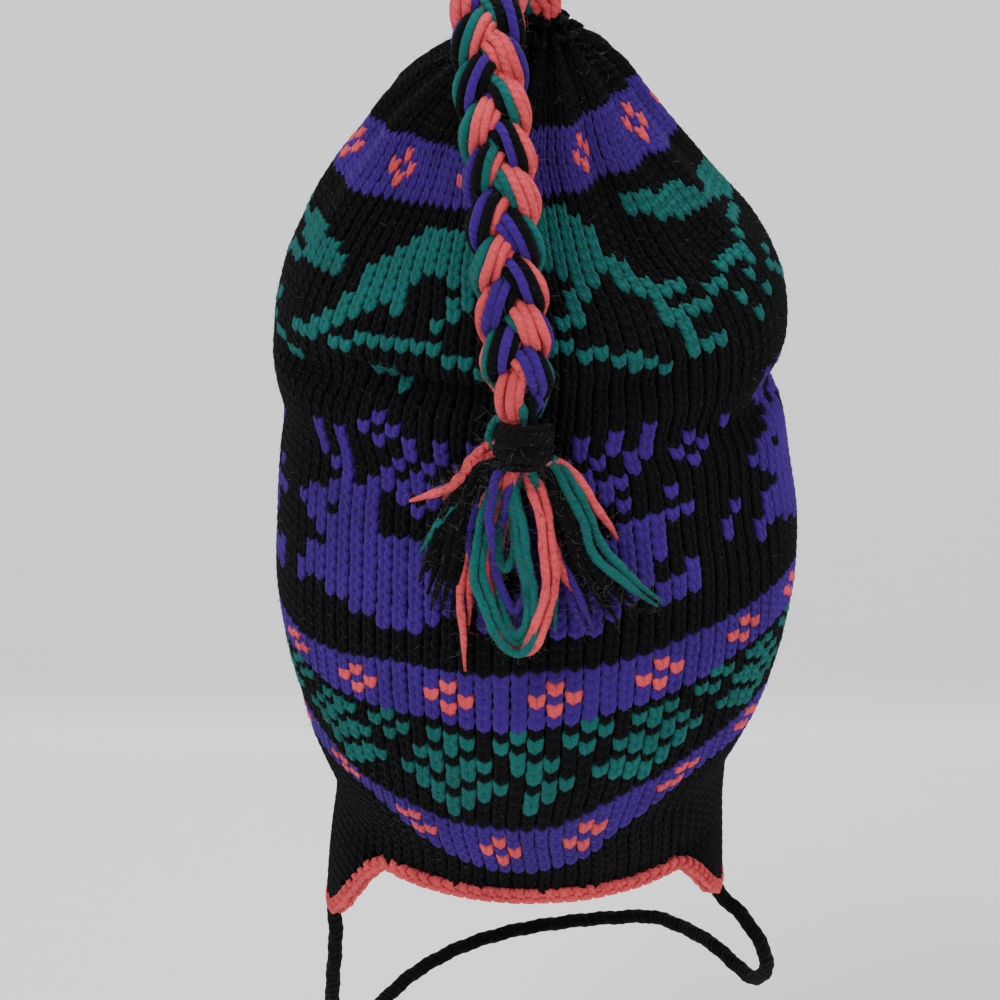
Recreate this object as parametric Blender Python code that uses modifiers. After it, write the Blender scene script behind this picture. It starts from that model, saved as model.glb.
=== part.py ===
"""Chullo hat: a tall knitted crown with a gathered top, two ear flaps with a crochet edge,
a chin tie that hangs between the flap tips, and a braid from the top that ends in a tassel.

Metres, Z up. The origin is where the crown of the head sits inside the hat, X runs to the
hat's right side seen from behind, and the nape faces -Y.
"""

import math

import bmesh
import bpy
from mathutils import Matrix, Vector

# Sizes of the whole hat
HALF_WIDE = 0.0856
HALF_DEEP = 0.0940
TALL = 0.2598
CROWN_WALL = 0.0038
FLAP_WALL = 0.0038
GAP = 0.0003

# Ear flaps: how far the knit hangs below the rim, and how far the tips stand out
LEFT_FLAP_DROP = 0.0340
RIGHT_FLAP_DROP = 0.0262
LEFT_FLARE = 0.0036
RIGHT_FLARE = 0.0005
LEAST_FLAP = 0.0024

# Crochet edge, chin tie, braid, wrap and tassel
EDGE_RADIUS = 0.0023
EDGE_STEP = 0.0060
TIE_DIAMETER = 0.0054
TIE_STEP = 0.0068
STRAND_RADIUS = 0.0047
BRAID_SWING = 0.0062
BRAID_LIFT = 0.0034
BRAID_PERIOD = 0.0390
BRAID_POINTS = 40
WRAP_RADIUS = 0.0088
WRAP_HOLE = 0.0056
WRAP_TALL = 0.0150
NECK_RADIUS = 0.0052
HEAD_RADIUS = 0.0074
LOCK_RADIUS = 0.0036
TASSEL_LONG = 0.0680

COLUMNS = 56
OUTER_RINGS = 27
INNER_RINGS = 17
FLAP_COLUMNS = 16
FLAP_ROWS = 5

# Crown sections from the rim up. Rise is a share of TALL from the head seat, lean, back and
# front are shares of HALF_DEEP, wide and shift are shares of HALF_WIDE, tilt is in degrees
# and takes the nape side down.
SECTION_COLUMNS = ("rise", "lean", "tilt", "wide", "back", "front", "shift")
SECTIONS = (
    (-0.532, 0.000, 8.0, 0.755, 0.745, 0.936, -0.004),
    (-0.496, 0.000, 8.0, 0.758, 0.809, 0.952, -0.002),
    (-0.455, 0.000, 7.5, 0.792, 0.872, 0.968, -0.020),
    (-0.415, 0.000, 7.0, 0.850, 0.926, 0.979, -0.012),
    (-0.375, 0.000, 6.5, 0.897, 0.963, 0.989, 0.002),
    (-0.314, 0.000, 6.0, 0.954, 0.993, 0.995, 0.010),
    (-0.235, 0.000, 6.0, 0.993, 1.000, 0.995, 0.016),
    (-0.157, 0.000, 6.0, 0.993, 0.995, 0.979, 0.023),
    (-0.079, 0.000, 6.5, 0.968, 0.968, 0.952, 0.012),
    (-0.021, 0.000, 7.0, 0.945, 0.945, 0.915, 0.009),
    (0.018, -0.007, 7.5, 0.940, 0.930, 0.894, -0.023),
    (0.057, -0.026, 8.5, 0.963, 0.920, 0.894, -0.015),
    (0.096, -0.043, 10.0, 0.963, 0.912, 0.883, -0.004),
    (0.136, -0.081, 12.0, 0.944, 0.894, 0.862, 0.002),
    (0.175, -0.119, 14.0, 0.904, 0.851, 0.819, -0.002),
    (0.214, -0.154, 15.5, 0.838, 0.787, 0.755, -0.012),
    (0.252, -0.189, 17.0, 0.754, 0.718, 0.681, -0.039),
    (0.290, -0.236, 18.5, 0.669, 0.638, 0.606, -0.048),
    (0.328, -0.283, 20.0, 0.574, 0.548, 0.521, -0.051),
    (0.365, -0.331, 21.0, 0.491, 0.468, 0.447, -0.057),
    (0.402, -0.376, 21.0, 0.387, 0.372, 0.351, -0.029),
    (0.420, -0.396, 20.0, 0.318, 0.298, 0.287, -0.014),
    (0.438, -0.419, 18.0, 0.216, 0.202, 0.191, 0.012),
    (0.456, -0.441, 15.0, 0.134, 0.128, 0.122, 0.030),
    (0.468, -0.454, 10.0, 0.076, 0.069, 0.069, 0.035),
)

# Dents and creases. Angle is in degrees from the nape, plus to the right, level is a share
# of TALL, spread is in degrees, reach is a share of TALL and depth a share of HALF_WIDE.
DENT_COLUMNS = ("angle", "level", "spread", "reach", "depth")
DENTS = (
    (-58.0, 0.075, 20.0, 0.020, 0.060),
    (-32.0, 0.105, 20.0, 0.018, 0.085),
    (-8.0, 0.100, 12.0, 0.020, 0.035),
    (24.0, 0.110, 13.0, 0.030, 0.055),
    (72.0, 0.025, 16.0, 0.030, 0.035),
    (150.0, 0.030, 50.0, 0.030, 0.035),
    (-47.0, 0.300, 11.0, 0.075, 0.050),
    (38.0, 0.260, 9.0, 0.090, 0.060),
    (52.0, -0.110, 9.0, 0.090, 0.022),
    (-30.0, -0.060, 9.0, 0.060, 0.012),
)

# Flutes of the gathered top: angle of each valley and its share of the full depth
FLUTE_COLUMNS = ("angle", "share")
FLUTES = (
    (-165.0, 0.8),
    (-136.0, 1.0),
    (-108.0, 0.8),
    (-80.0, 0.9),
    (-56.0, 0.7),
    (-35.0, 1.0),
    (-12.0, 0.7),
    (13.0, 0.9),
    (35.0, 1.0),
    (60.0, 0.8),
    (86.0, 1.0),
    (114.0, 0.8),
    (146.0, 1.0),
)
FLUTE_SPREAD = 8.5
FLUTE_DEPTH = 0.050
FLUTE_OF_RADIUS = 0.20
FLUTE_LOW = 0.150
FLUTE_HIGH = 0.360

# Outline of an ear flap: angle from the nape in degrees, and share of its full drop
FLAP_OUTLINE = (
    (46.0, 0.00),
    (50.0, 0.03),
    (54.0, 0.12),
    (59.0, 0.29),
    (65.0, 0.53),
    (71.0, 0.75),
    (78.0, 0.92),
    (86.0, 0.99),
    (92.0, 1.00),
    (99.0, 0.94),
    (106.0, 0.78),
    (113.0, 0.54),
    (119.0, 0.30),
    (125.0, 0.10),
    (130.0, 0.01),
    (134.0, 0.00),
)

# Middle line of the braid, from the gather over the top and down the back, in shares of
# HALF_WIDE, HALF_DEEP and TALL, as are the middle of the wrap and the route of the chin tie
BRAID_ROUTE = (
    (0.0175, -0.4574, 0.4827),
    (-0.0234, -0.5053, 0.5062),
    (-0.0935, -0.6064, 0.5196),
    (-0.1460, -0.7234, 0.5042),
    (-0.1600, -0.8191, 0.4657),
    (-0.1519, -0.8883, 0.4080),
    (-0.1343, -0.9415, 0.3464),
    (-0.1121, -0.9947, 0.2694),
    (-0.0900, -1.0340, 0.1925),
    (-0.0678, -1.0553, 0.1155),
    (-0.0491, -1.0585, 0.0654),
    (-0.0397, -1.0585, 0.0431),
)
WRAP_MIDDLE = (-0.0386, -1.0585, 0.0027)

# Locks of the tassel: where each ends, from the middle of the wrap, in shares of TASSEL_LONG
# across, out from the hat and down, with how far its middle bows out and its thickness
LOCK_COLUMNS = ("across", "out", "down", "bow", "thick")
LOCKS = (
    (-0.41, 0.04, 0.66, 0.10, 1.00),
    (-0.31, 0.01, 0.84, 0.06, 1.00),
    (-0.22, 0.07, 0.70, 0.09, 0.90),
    (0.19, 0.00, 0.84, 0.05, 0.95),
    (0.31, 0.04, 0.86, 0.09, 1.00),
    (0.36, -0.02, 0.68, 0.06, 0.95),
    (0.52, 0.00, 0.76, 0.10, 1.00),
    (0.58, 0.05, 0.72, 0.12, 0.90),
)
LOOP_ROUTE = (
    (-0.02, 0.02, 0.175),
    (-0.09, 0.08, 0.215),
    (-0.135, 0.11, 0.35),
    (-0.14, 0.11, 0.55),
    (-0.11, 0.10, 0.76),
    (-0.03, 0.10, 0.89),
    (0.04, 0.10, 0.80),
    (0.08, 0.11, 0.60),
    (0.09, 0.12, 0.38),
    (0.06, 0.09, 0.23),
    (0.015, 0.02, 0.18),
)

# Route of the chin tie, from the left flap tip round in front of the neck to the right tip
TIE_ROUTE = (
    (-0.7769, 0.0000, -0.6857),
    (-0.7769, 0.0021, -0.7044),
    (-0.7757, 0.0234, -0.7429),
    (-0.7886, 0.0532, -0.7948),
    (-0.7967, 0.1011, -0.8430),
    (-0.7757, 0.1915, -0.8853),
    (-0.7126, 0.3191, -0.9084),
    (-0.6192, 0.4787, -0.9045),
    (-0.4848, 0.6277, -0.8834),
    (-0.2921, 0.7447, -0.8622),
    (-0.0584, 0.8032, -0.8449),
    (0.1869, 0.7926, -0.8295),
    (0.3855, 0.7340, -0.8152),
    (0.5339, 0.6596, -0.8045),
    (0.6542, 0.5426, -0.8037),
    (0.7629, 0.3936, -0.8064),
    (0.8435, 0.2606, -0.8152),
    (0.9054, 0.1223, -0.8149),
    (0.9439, 0.0053, -0.7871),
    (0.9322, -0.0479, -0.7544),
    (0.8855, -0.0479, -0.7236),
    (0.8271, -0.0298, -0.6998),
    (0.7734, -0.0128, -0.6844),
    (0.7395, -0.0021, -0.6709),
    (0.7336, 0.0000, -0.6559),
)

MATERIALS = {
    "black_wool": (0.010, 0.010, 0.012),
    "coral_wool": (0.900, 0.150, 0.110),
    "teal_wool": (0.010, 0.230, 0.180),
    "purple_wool": (0.065, 0.028, 0.420),
}


def clear_scene():
    for thing in list(bpy.data.objects):
        bpy.data.objects.remove(thing, do_unlink=True)


def named(columns, row):
    return dict(zip(columns, row))


def smooth_step(low, high, value):
    share = min(1.0, max(0.0, (value - low) / (high - low)))
    return share * share * (3.0 - 2.0 * share)


def blend(rows, station):
    """Values of a table between its rows, on a smooth curve through them."""
    last = len(rows) - 1
    station = min(max(station, 0.0), float(last))
    low = min(int(station), last - 1)
    share = station - low
    before = rows[max(low - 1, 0)]
    start = rows[low]
    end = rows[low + 1]
    after = rows[min(low + 2, last)]
    out = []
    for p0, p1, p2, p3 in zip(before, start, end, after):
        slope = 0.5 * (p2 - p0)
        bend = p0 - 2.5 * p1 + 2.0 * p2 - 0.5 * p3
        twist = 1.5 * (p1 - p2) + 0.5 * (p3 - p0)
        out.append(p1 + share * (slope + share * (bend + share * twist)))
    return out


def share_at(rows, value):
    """Height of an outline table at an angle, straight between its rows."""
    if value <= rows[0][0] or value >= rows[-1][0]:
        return 0.0
    for (a0, s0), (a1, s1) in zip(rows, rows[1:]):
        if a0 <= value <= a1:
            share = (value - a0) / (a1 - a0)
            share = share * share * (3.0 - 2.0 * share) * 0.35 + share * 0.65
            return s0 + (s1 - s0) * share
    return 0.0


def turn_between(angle, other):
    return (angle - other + 180.0) % 360.0 - 180.0


def dent_depth(angle, rise):
    """How far the crown's surface lies in from its plain section."""
    depth = 0.0
    for row in DENTS:
        dent = named(DENT_COLUMNS, row)
        across = turn_between(angle, dent["angle"]) / dent["spread"]
        along = (rise - dent["level"]) / dent["reach"]
        depth += dent["depth"] * math.exp(-across * across - along * along)
    return depth * HALF_WIDE


def flute_depth(angle, rise, radius):
    """Depth of the gather's valleys, growing towards the top."""
    growth = smooth_step(FLUTE_LOW, FLUTE_HIGH, rise)
    if growth <= 0.0:
        return 0.0
    full = min(FLUTE_DEPTH * HALF_WIDE, FLUTE_OF_RADIUS * radius)
    depth = 0.0
    for row in FLUTES:
        flute = named(FLUTE_COLUMNS, row)
        across = turn_between(angle, flute["angle"]) / FLUTE_SPREAD
        depth += flute["share"] * math.exp(-across * across)
    return full * growth * depth


def crown_point(angle, station):
    """A point of the crown's outer face. Angle is in degrees from the nape."""
    section = named(SECTION_COLUMNS, blend(SECTIONS, station))
    turn = math.radians(angle)
    deep = section["back"] if math.cos(turn) > 0.0 else section["front"]
    across = section["wide"] * HALF_WIDE * math.sin(turn)
    along = -deep * HALF_DEEP * math.cos(turn)
    radius = math.hypot(across, along)
    inward = dent_depth(angle, section["rise"]) + flute_depth(angle, section["rise"], radius)
    scale = max(0.0, 1.0 - inward / radius)
    across *= scale
    along *= scale
    tilt = math.radians(section["tilt"])
    x = section["shift"] * HALF_WIDE + across
    y = section["lean"] * HALF_DEEP + along * math.cos(tilt)
    z = section["rise"] * TALL + along * math.sin(tilt)
    return Vector((x, y, z))


def crown_normal(angle, station):
    """Outward direction of the crown's face."""
    low = max(station - 0.3, 0.0)
    high = min(station + 0.3, len(SECTIONS) - 1.0)
    around = crown_point(angle + 2.5, station) - crown_point(angle - 2.5, station)
    upward = crown_point(angle, high) - crown_point(angle, low)
    return around.cross(upward).normalized()


def flap_drop(angle):
    """How far the knit hangs below the rim at an angle from the nape."""
    full = RIGHT_FLAP_DROP if angle > 0.0 else LEFT_FLAP_DROP
    return full * share_at(FLAP_OUTLINE, abs(angle))


def rim_outward(angle):
    around = crown_point(angle + 2.0, 0.0) - crown_point(angle - 2.0, 0.0)
    return Vector((around.y, -around.x, 0.0)).normalized()


def flap_point(angle, down, inset):
    """A point of the ear flap's cloth, down below the rim and inset from its outer face."""
    full = RIGHT_FLAP_DROP if angle > 0.0 else LEFT_FLAP_DROP
    flare = RIGHT_FLARE if angle > 0.0 else LEFT_FLARE
    share = down / full
    outward = rim_outward(angle)
    point = crown_point(angle, 0.0)
    point += outward * (flare * share * (1.6 - 0.6 * share) - inset)
    point.z -= GAP + down
    return point


def new_object(name, verts, faces, material):
    mesh = bpy.data.meshes.new(name)
    mesh.from_pydata([tuple(v) for v in verts], [], faces)
    mesh.validate()
    return finish_object(name, mesh, material)


def finish_object(name, mesh, material):
    tidy = bmesh.new()
    tidy.from_mesh(mesh)
    bmesh.ops.remove_doubles(tidy, verts=tidy.verts, dist=0.00001)
    bmesh.ops.recalc_face_normals(tidy, faces=tidy.faces)
    tidy.to_mesh(mesh)
    tidy.free()
    mesh.materials.clear()
    mesh.materials.append(material)
    obj = bpy.data.objects.new(name, mesh)
    bpy.context.scene.collection.objects.link(obj)
    return obj


def ring_faces(first, second, count):
    faces = []
    for i in range(count):
        j = (i + 1) % count
        faces.append((first + i, first + j, second + j, second + i))
    return faces


def build_crown(material):
    """Hollow shell between outer and inner rings, open at the rim and shut at the top."""
    last = len(SECTIONS) - 1.0
    turns = [360.0 * i / COLUMNS for i in range(COLUMNS)]
    verts = []
    faces = []
    outer = []
    for k in range(OUTER_RINGS):
        station = last * k / (OUTER_RINGS - 1)
        outer.append(len(verts))
        verts.extend(crown_point(turn, station) for turn in turns)
    inner = []
    highest = last - 3.4
    for k in range(INNER_RINGS):
        station = highest * k / (INNER_RINGS - 1)
        inner.append(len(verts))
        for turn in turns:
            point = crown_point(turn, station)
            normal = crown_normal(turn, station)
            if k == 0:
                normal = rim_outward(turn)
            verts.append(point - normal * CROWN_WALL)
    for a, b in zip(outer, outer[1:]):
        faces.extend(ring_faces(a, b, COLUMNS))
    for a, b in zip(inner, inner[1:]):
        faces.extend(ring_faces(b, a, COLUMNS))
    faces.extend(ring_faces(inner[0], outer[0], COLUMNS))
    for ring in (outer[-1], inner[-1]):
        middle = sum((Vector(verts[ring + i]) for i in range(COLUMNS)), Vector()) / COLUMNS
        verts.append(middle)
        top = len(verts) - 1
        faces.extend((ring + i, ring + (i + 1) % COLUMNS, top) for i in range(COLUMNS))
    return new_object("knit_crown", verts, faces, material)


def flap_span(side):
    """First and last angle where the flap is tall enough to be cloth of its own."""
    steps = [FLAP_OUTLINE[0][0] + 0.1 * i for i in range(900)]
    tall = [a for a in steps if flap_drop(side * a) >= LEAST_FLAP]
    return side * tall[0], side * tall[-1]


def build_flap(name, side, material):
    first, final = flap_span(side)
    verts = []
    for inset in (0.0, FLAP_WALL):
        for k in range(FLAP_ROWS + 1):
            for i in range(FLAP_COLUMNS + 1):
                angle = first + (final - first) * i / FLAP_COLUMNS
                down = flap_drop(angle) * k / FLAP_ROWS
                verts.append(flap_point(angle, down, inset))
    wide = FLAP_COLUMNS + 1
    layer = wide * (FLAP_ROWS + 1)
    faces = []
    for k in range(FLAP_ROWS):
        for i in range(FLAP_COLUMNS):
            a = k * wide + i
            faces.append((a, a + 1, a + wide + 1, a + wide))
            faces.append((layer + a + wide, layer + a + wide + 1, layer + a + 1, layer + a))
    for i in range(FLAP_COLUMNS):
        faces.append((i + 1, i, layer + i, layer + i + 1))
        low = FLAP_ROWS * wide + i
        faces.append((low, low + 1, layer + low + 1, layer + low))
    for k in range(FLAP_ROWS):
        near = k * wide
        far = near + FLAP_COLUMNS
        faces.append((near, near + wide, layer + near + wide, layer + near))
        faces.append((far + wide, far, layer + far, layer + far + wide))
    return new_object(name, verts, faces, material)


def catmull(points, per):
    """Dense points of a smooth curve through the given ones."""
    rows = [tuple(p) for p in points]
    out = []
    for i in range((len(rows) - 1) * per + 1):
        out.append(Vector(blend(rows, i / per)))
    return out


def even_points(points, count, closed=False):
    """Points at even distances along a dense line."""
    line = list(points)
    if closed:
        line.append(line[0])
    reach = [0.0]
    for a, b in zip(line, line[1:]):
        reach.append(reach[-1] + (b - a).length)
    total = reach[-1]
    steps = count if closed else count - 1
    out = []
    k = 0
    for i in range(count):
        want = total * i / steps
        while k < len(reach) - 2 and reach[k + 1] < want:
            k += 1
        span = reach[k + 1] - reach[k]
        share = (want - reach[k]) / span if span > 0.0 else 0.0
        out.append(line[k].lerp(line[k + 1], share))
    return out


def from_shares(row):
    """A point given in shares of the hat's half width, half depth and height."""
    return Vector((row[0] * HALF_WIDE, row[1] * HALF_DEEP, row[2] * TALL))


def line_length(points):
    return sum((b - a).length for a, b in zip(points, points[1:]))


def tube(name, points, radii, closed, sides_step, material):
    """A solid tube along points, its open ends filled."""
    curve = bpy.data.curves.new(name + "_line", "CURVE")
    curve.dimensions = "3D"
    curve.bevel_depth = 1.0
    curve.bevel_resolution = sides_step
    curve.use_fill_caps = not closed
    curve.twist_mode = "MINIMUM"
    spline = curve.splines.new("POLY")
    spline.points.add(len(points) - 1)
    for place, point, radius in zip(spline.points, points, radii):
        place.co = (point[0], point[1], point[2], 1.0)
        place.radius = radius
    spline.use_cyclic_u = closed
    holder = bpy.data.objects.new(name + "_line", curve)
    bpy.context.scene.collection.objects.link(holder)
    bpy.context.view_layer.update()
    graph = bpy.context.evaluated_depsgraph_get()
    mesh = bpy.data.meshes.new_from_object(holder.evaluated_get(graph))
    bpy.data.objects.remove(holder, do_unlink=True)
    mesh.name = name
    return finish_object(name, mesh, material)


def edge_line():
    """Middle line of the crochet edge, just below the rim and the flaps."""
    angles = [i * 0.5 - 180.0 for i in range(720)]
    border = []
    outward = []
    for angle in angles:
        down = flap_drop(angle)
        if down < LEAST_FLAP:
            point = crown_point(angle, 0.0) - rim_outward(angle) * CROWN_WALL * 0.5
            point.z -= down
        else:
            point = flap_point(angle, down, FLAP_WALL * 0.5)
        border.append(point)
        outward.append(rim_outward(angle))
    line = []
    count = len(border)
    for i in range(count):
        along = border[(i + 3) % count] - border[i - 3]
        away = along.cross(outward[i]).normalized()
        if away.z > 0.0:
            away.negate()
        line.append(border[i] + away * (EDGE_RADIUS + GAP + 0.0002))
    for _ in range(12):
        line = [
            (line[i - 1] + line[i] * 2.0 + line[(i + 1) % count]) * 0.25 for i in range(count)
        ]
    return line


def build_edge(material):
    line = edge_line()
    total = line_length(line + line[:1])
    count = int(total / EDGE_STEP)
    points = even_points(line, count, closed=True)
    return tube("crochet_edge", points, [EDGE_RADIUS] * count, True, 1, material)


def build_tie(material):
    line = catmull([from_shares(row) for row in TIE_ROUTE], 12)
    count = int(line_length(line) / TIE_STEP) + 1
    points = even_points(line, count)
    return tube("chin_tie", points, [TIE_DIAMETER / 2.0] * count, False, 2, material)


def join_solids(base, others):
    """One solid from overlapping ones."""
    for other in others:
        joiner = base.modifiers.new("join", "BOOLEAN")
        joiner.operation = "UNION"
        joiner.solver = "EXACT"
        joiner.object = other
        bpy.context.view_layer.update()
        graph = bpy.context.evaluated_depsgraph_get()
        mesh = bpy.data.meshes.new_from_object(base.evaluated_get(graph))
        base.modifiers.remove(joiner)
        old = base.data
        base.data = mesh
        bpy.data.meshes.remove(old)
        bpy.data.objects.remove(other, do_unlink=True)
    tidy = bmesh.new()
    tidy.from_mesh(base.data)
    bmesh.ops.remove_doubles(tidy, verts=tidy.verts, dist=0.00002)
    bmesh.ops.triangulate(tidy, faces=tidy.faces)
    tidy.to_mesh(base.data)
    tidy.free()
    material = base.data.materials[0]
    base.data.materials.clear()
    base.data.materials.append(material)
    return base


def braid_frame(line, index):
    """Directions along, across and out from the hat at a point of the braid's middle line."""
    near = line[max(index - 1, 0)]
    far = line[min(index + 1, len(line) - 1)]
    along = (far - near).normalized()
    across = Vector((1.0, 0.0, 0.0))
    across = (across - along * across.dot(along)).normalized()
    return along, across, across.cross(along).normalized()


def strand_line(number):
    """Middle line of one of the braid's three strands."""
    route = [from_shares(row) for row in BRAID_ROUTE]
    line = even_points(catmull(route, 16), BRAID_POINTS)
    step = line_length(line) / (BRAID_POINTS - 1)
    points = []
    for i, middle in enumerate(line):
        _, across, out = braid_frame(line, i)
        phase = math.tau * (i * step / BRAID_PERIOD + number / 3.0)
        ends = smooth_step(0.0, 5.0, i) * smooth_step(0.0, 3.0, BRAID_POINTS - 1 - i)
        width = BRAID_SWING * (0.45 + 0.55 * ends)
        lift = BRAID_LIFT * (0.45 + 0.55 * ends)
        points.append(middle + across * width * math.sin(phase) + out * lift * math.sin(2.0 * phase))
    return points


def build_braid(material):
    strands = []
    for number in range(3):
        points = strand_line(number)
        radii = [STRAND_RADIUS] * len(points)
        strands.append(tube("braid_strand_%d" % number, points, radii, False, 2, material))
    braid = join_solids(strands[0], strands[1:])
    braid.name = "braid"
    braid.data.name = "braid"
    return braid


def build_wrap(material):
    """A wound band: a barrel-shaped ring turned round the upright line of the wrap."""
    half = WRAP_TALL / 2.0
    profile = (
        (WRAP_HOLE, -half + 0.0004),
        (WRAP_RADIUS - 0.0022, -half),
        (WRAP_RADIUS - 0.0006, -half * 0.80),
        (WRAP_RADIUS, -half * 0.30),
        (WRAP_RADIUS, half * 0.30),
        (WRAP_RADIUS - 0.0006, half * 0.80),
        (WRAP_RADIUS - 0.0022, half),
        (WRAP_HOLE, half - 0.0004),
    )
    mesh = bpy.data.meshes.new("braid_wrap")
    edges = [(i, (i + 1) % len(profile)) for i in range(len(profile))]
    mesh.from_pydata([(r, 0.0, z) for r, z in profile], edges, [])
    holder = bpy.data.objects.new("braid_wrap_line", mesh)
    bpy.context.scene.collection.objects.link(holder)
    turned = holder.modifiers.new("turn", "SCREW")
    turned.axis = "Z"
    turned.angle = math.tau
    turned.steps = 24
    turned.render_steps = 24
    turned.use_merge_vertices = True
    turned.merge_threshold = 0.00005
    bpy.context.view_layer.update()
    graph = bpy.context.evaluated_depsgraph_get()
    shape = bpy.data.meshes.new_from_object(holder.evaluated_get(graph))
    bpy.data.objects.remove(holder, do_unlink=True)
    shape.transform(Matrix.Translation(from_shares(WRAP_MIDDLE)))
    shape.name = "braid_wrap"
    return finish_object("braid_wrap", shape, material)


def tassel_point(across, out, down):
    middle = from_shares(WRAP_MIDDLE)
    return middle + Vector((across, -out, -down)) * TASSEL_LONG


def build_tassel(material):
    """A neck inside the wrap with locks and a loop of yarn hanging from it."""
    top = WRAP_TALL / 2.0 / TASSEL_LONG
    neck_line = [tassel_point(0.0, 0.0, d) for d in (-top, -0.04, 0.04, top, top + 0.05)]
    neck = tube("tassel", neck_line, [NECK_RADIUS] * 5, False, 3, material)
    head_line = [tassel_point(0.0, 0.01, top + d) for d in (0.010, 0.025, 0.045, 0.075, 0.10)]
    head_radii = [HEAD_RADIUS * share for share in (0.70, 0.93, 1.0, 0.95, 0.70)]
    parts = [tube("head", head_line, head_radii, False, 3, material)]
    for i, row in enumerate(LOCKS):
        lock = named(LOCK_COLUMNS, row)
        route = [
            tassel_point(lock["across"] * 0.08, 0.01, top + 0.070),
            tassel_point(lock["across"] * 0.34, lock["bow"] * 0.7, top + 0.110),
            tassel_point(lock["across"] * 0.66, lock["bow"], lock["down"] * 0.45),
            tassel_point(lock["across"] * 0.90, lock["bow"] * 0.8, lock["down"] * 0.75),
            tassel_point(lock["across"], lock["out"], lock["down"]),
        ]
        points = even_points(catmull(route, 8), 8)
        thick = LOCK_RADIUS * lock["thick"]
        radii = [thick * (1.0 - 0.35 * k / 7.0) for k in range(8)]
        parts.append(tube("lock_%d" % i, points, radii, False, 1, material))
    points = even_points(catmull([tassel_point(*p) for p in LOOP_ROUTE], 8), 22)
    parts.append(tube("loop", points, [LOCK_RADIUS * 0.86] * 22, False, 1, material))
    return join_solids(neck, parts)


def make_material(name):
    material = bpy.data.materials.new(name)
    material.use_nodes = True
    shader = material.node_tree.nodes["Principled BSDF"]
    shader.inputs["Base Color"].default_value = (*MATERIALS[name], 1.0)
    shader.inputs["Roughness"].default_value = 0.9
    shader.inputs["Metallic"].default_value = 0.0
    material.diffuse_color = (*MATERIALS[name], 1.0)
    return material


def main():
    clear_scene()
    group = bpy.data.collections.new("chullo_hat")
    bpy.context.scene.collection.children.link(group)
    wool = {name: make_material(name) for name in MATERIALS}
    pieces = [
        build_crown(wool["black_wool"]),
        build_flap("ear_flap_left", -1.0, wool["black_wool"].copy()),
        build_flap("ear_flap_right", 1.0, wool["black_wool"].copy()),
        build_edge(wool["coral_wool"]),
        build_tie(wool["black_wool"].copy()),
        build_braid(wool["purple_wool"]),
        build_wrap(wool["black_wool"].copy()),
        build_tassel(wool["teal_wool"]),
    ]
    for piece in pieces:
        bpy.context.scene.collection.objects.unlink(piece)
        group.objects.link(piece)
        piece.data.materials[0].name = piece.name + "_wool"


main()
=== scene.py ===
"""Chullo hat knitted stitch by stitch over its solid model: patterned crown with a purl
lining, plain ear flaps, crochet edge, chin tie, braid with its wound band, and tassel.

Metres, Z up. The nape faces -Y and the hat's right side seen from behind is +X.
"""

import bisect
import math
import random

import bpy
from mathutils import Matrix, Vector


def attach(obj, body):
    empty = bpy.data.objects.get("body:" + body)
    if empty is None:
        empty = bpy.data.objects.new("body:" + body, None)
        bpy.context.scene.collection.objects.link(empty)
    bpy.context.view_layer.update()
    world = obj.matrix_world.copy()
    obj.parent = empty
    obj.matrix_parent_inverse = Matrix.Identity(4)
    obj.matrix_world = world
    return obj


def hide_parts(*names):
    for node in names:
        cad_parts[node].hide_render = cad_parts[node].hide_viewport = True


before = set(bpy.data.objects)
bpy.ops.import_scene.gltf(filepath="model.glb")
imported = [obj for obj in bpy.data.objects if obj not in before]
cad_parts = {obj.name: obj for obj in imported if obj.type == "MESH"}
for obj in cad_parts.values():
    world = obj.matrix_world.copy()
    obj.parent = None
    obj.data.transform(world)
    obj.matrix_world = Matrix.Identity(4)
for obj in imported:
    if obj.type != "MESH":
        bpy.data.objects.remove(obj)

bl_info = {
    "name": "Chullo hat",
    "version": (1, 0, 0),
    "blender": (4, 5, 0),
    "location": "View3D > Sidebar > Chullo",
    "description": "Knits a chullo hat stitch by stitch over its solid model",
    "category": "Add Mesh",
}

# ---- The hat's sizes and tables, as its solids have them ----

HALF_WIDE = 0.0856
HALF_DEEP = 0.0940
TALL = 0.2598
CROWN_WALL = 0.0038
FLAP_WALL = 0.0038
GAP = 0.0003

# Ear flaps: how far the knit hangs below the rim, and how far the tips stand out
LEFT_FLAP_DROP = 0.0340
RIGHT_FLAP_DROP = 0.0262
LEFT_FLARE = 0.0036
RIGHT_FLARE = 0.0005
LEAST_FLAP = 0.0024

# Crochet edge, chin tie, braid, wrap and tassel
EDGE_RADIUS = 0.0023
TIE_DIAMETER = 0.0054
STRAND_RADIUS = 0.0047
BRAID_SWING = 0.0062
BRAID_LIFT = 0.0034
BRAID_PERIOD = 0.0390
BRAID_POINTS = 40
WRAP_RADIUS = 0.0088
WRAP_TALL = 0.0150

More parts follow.
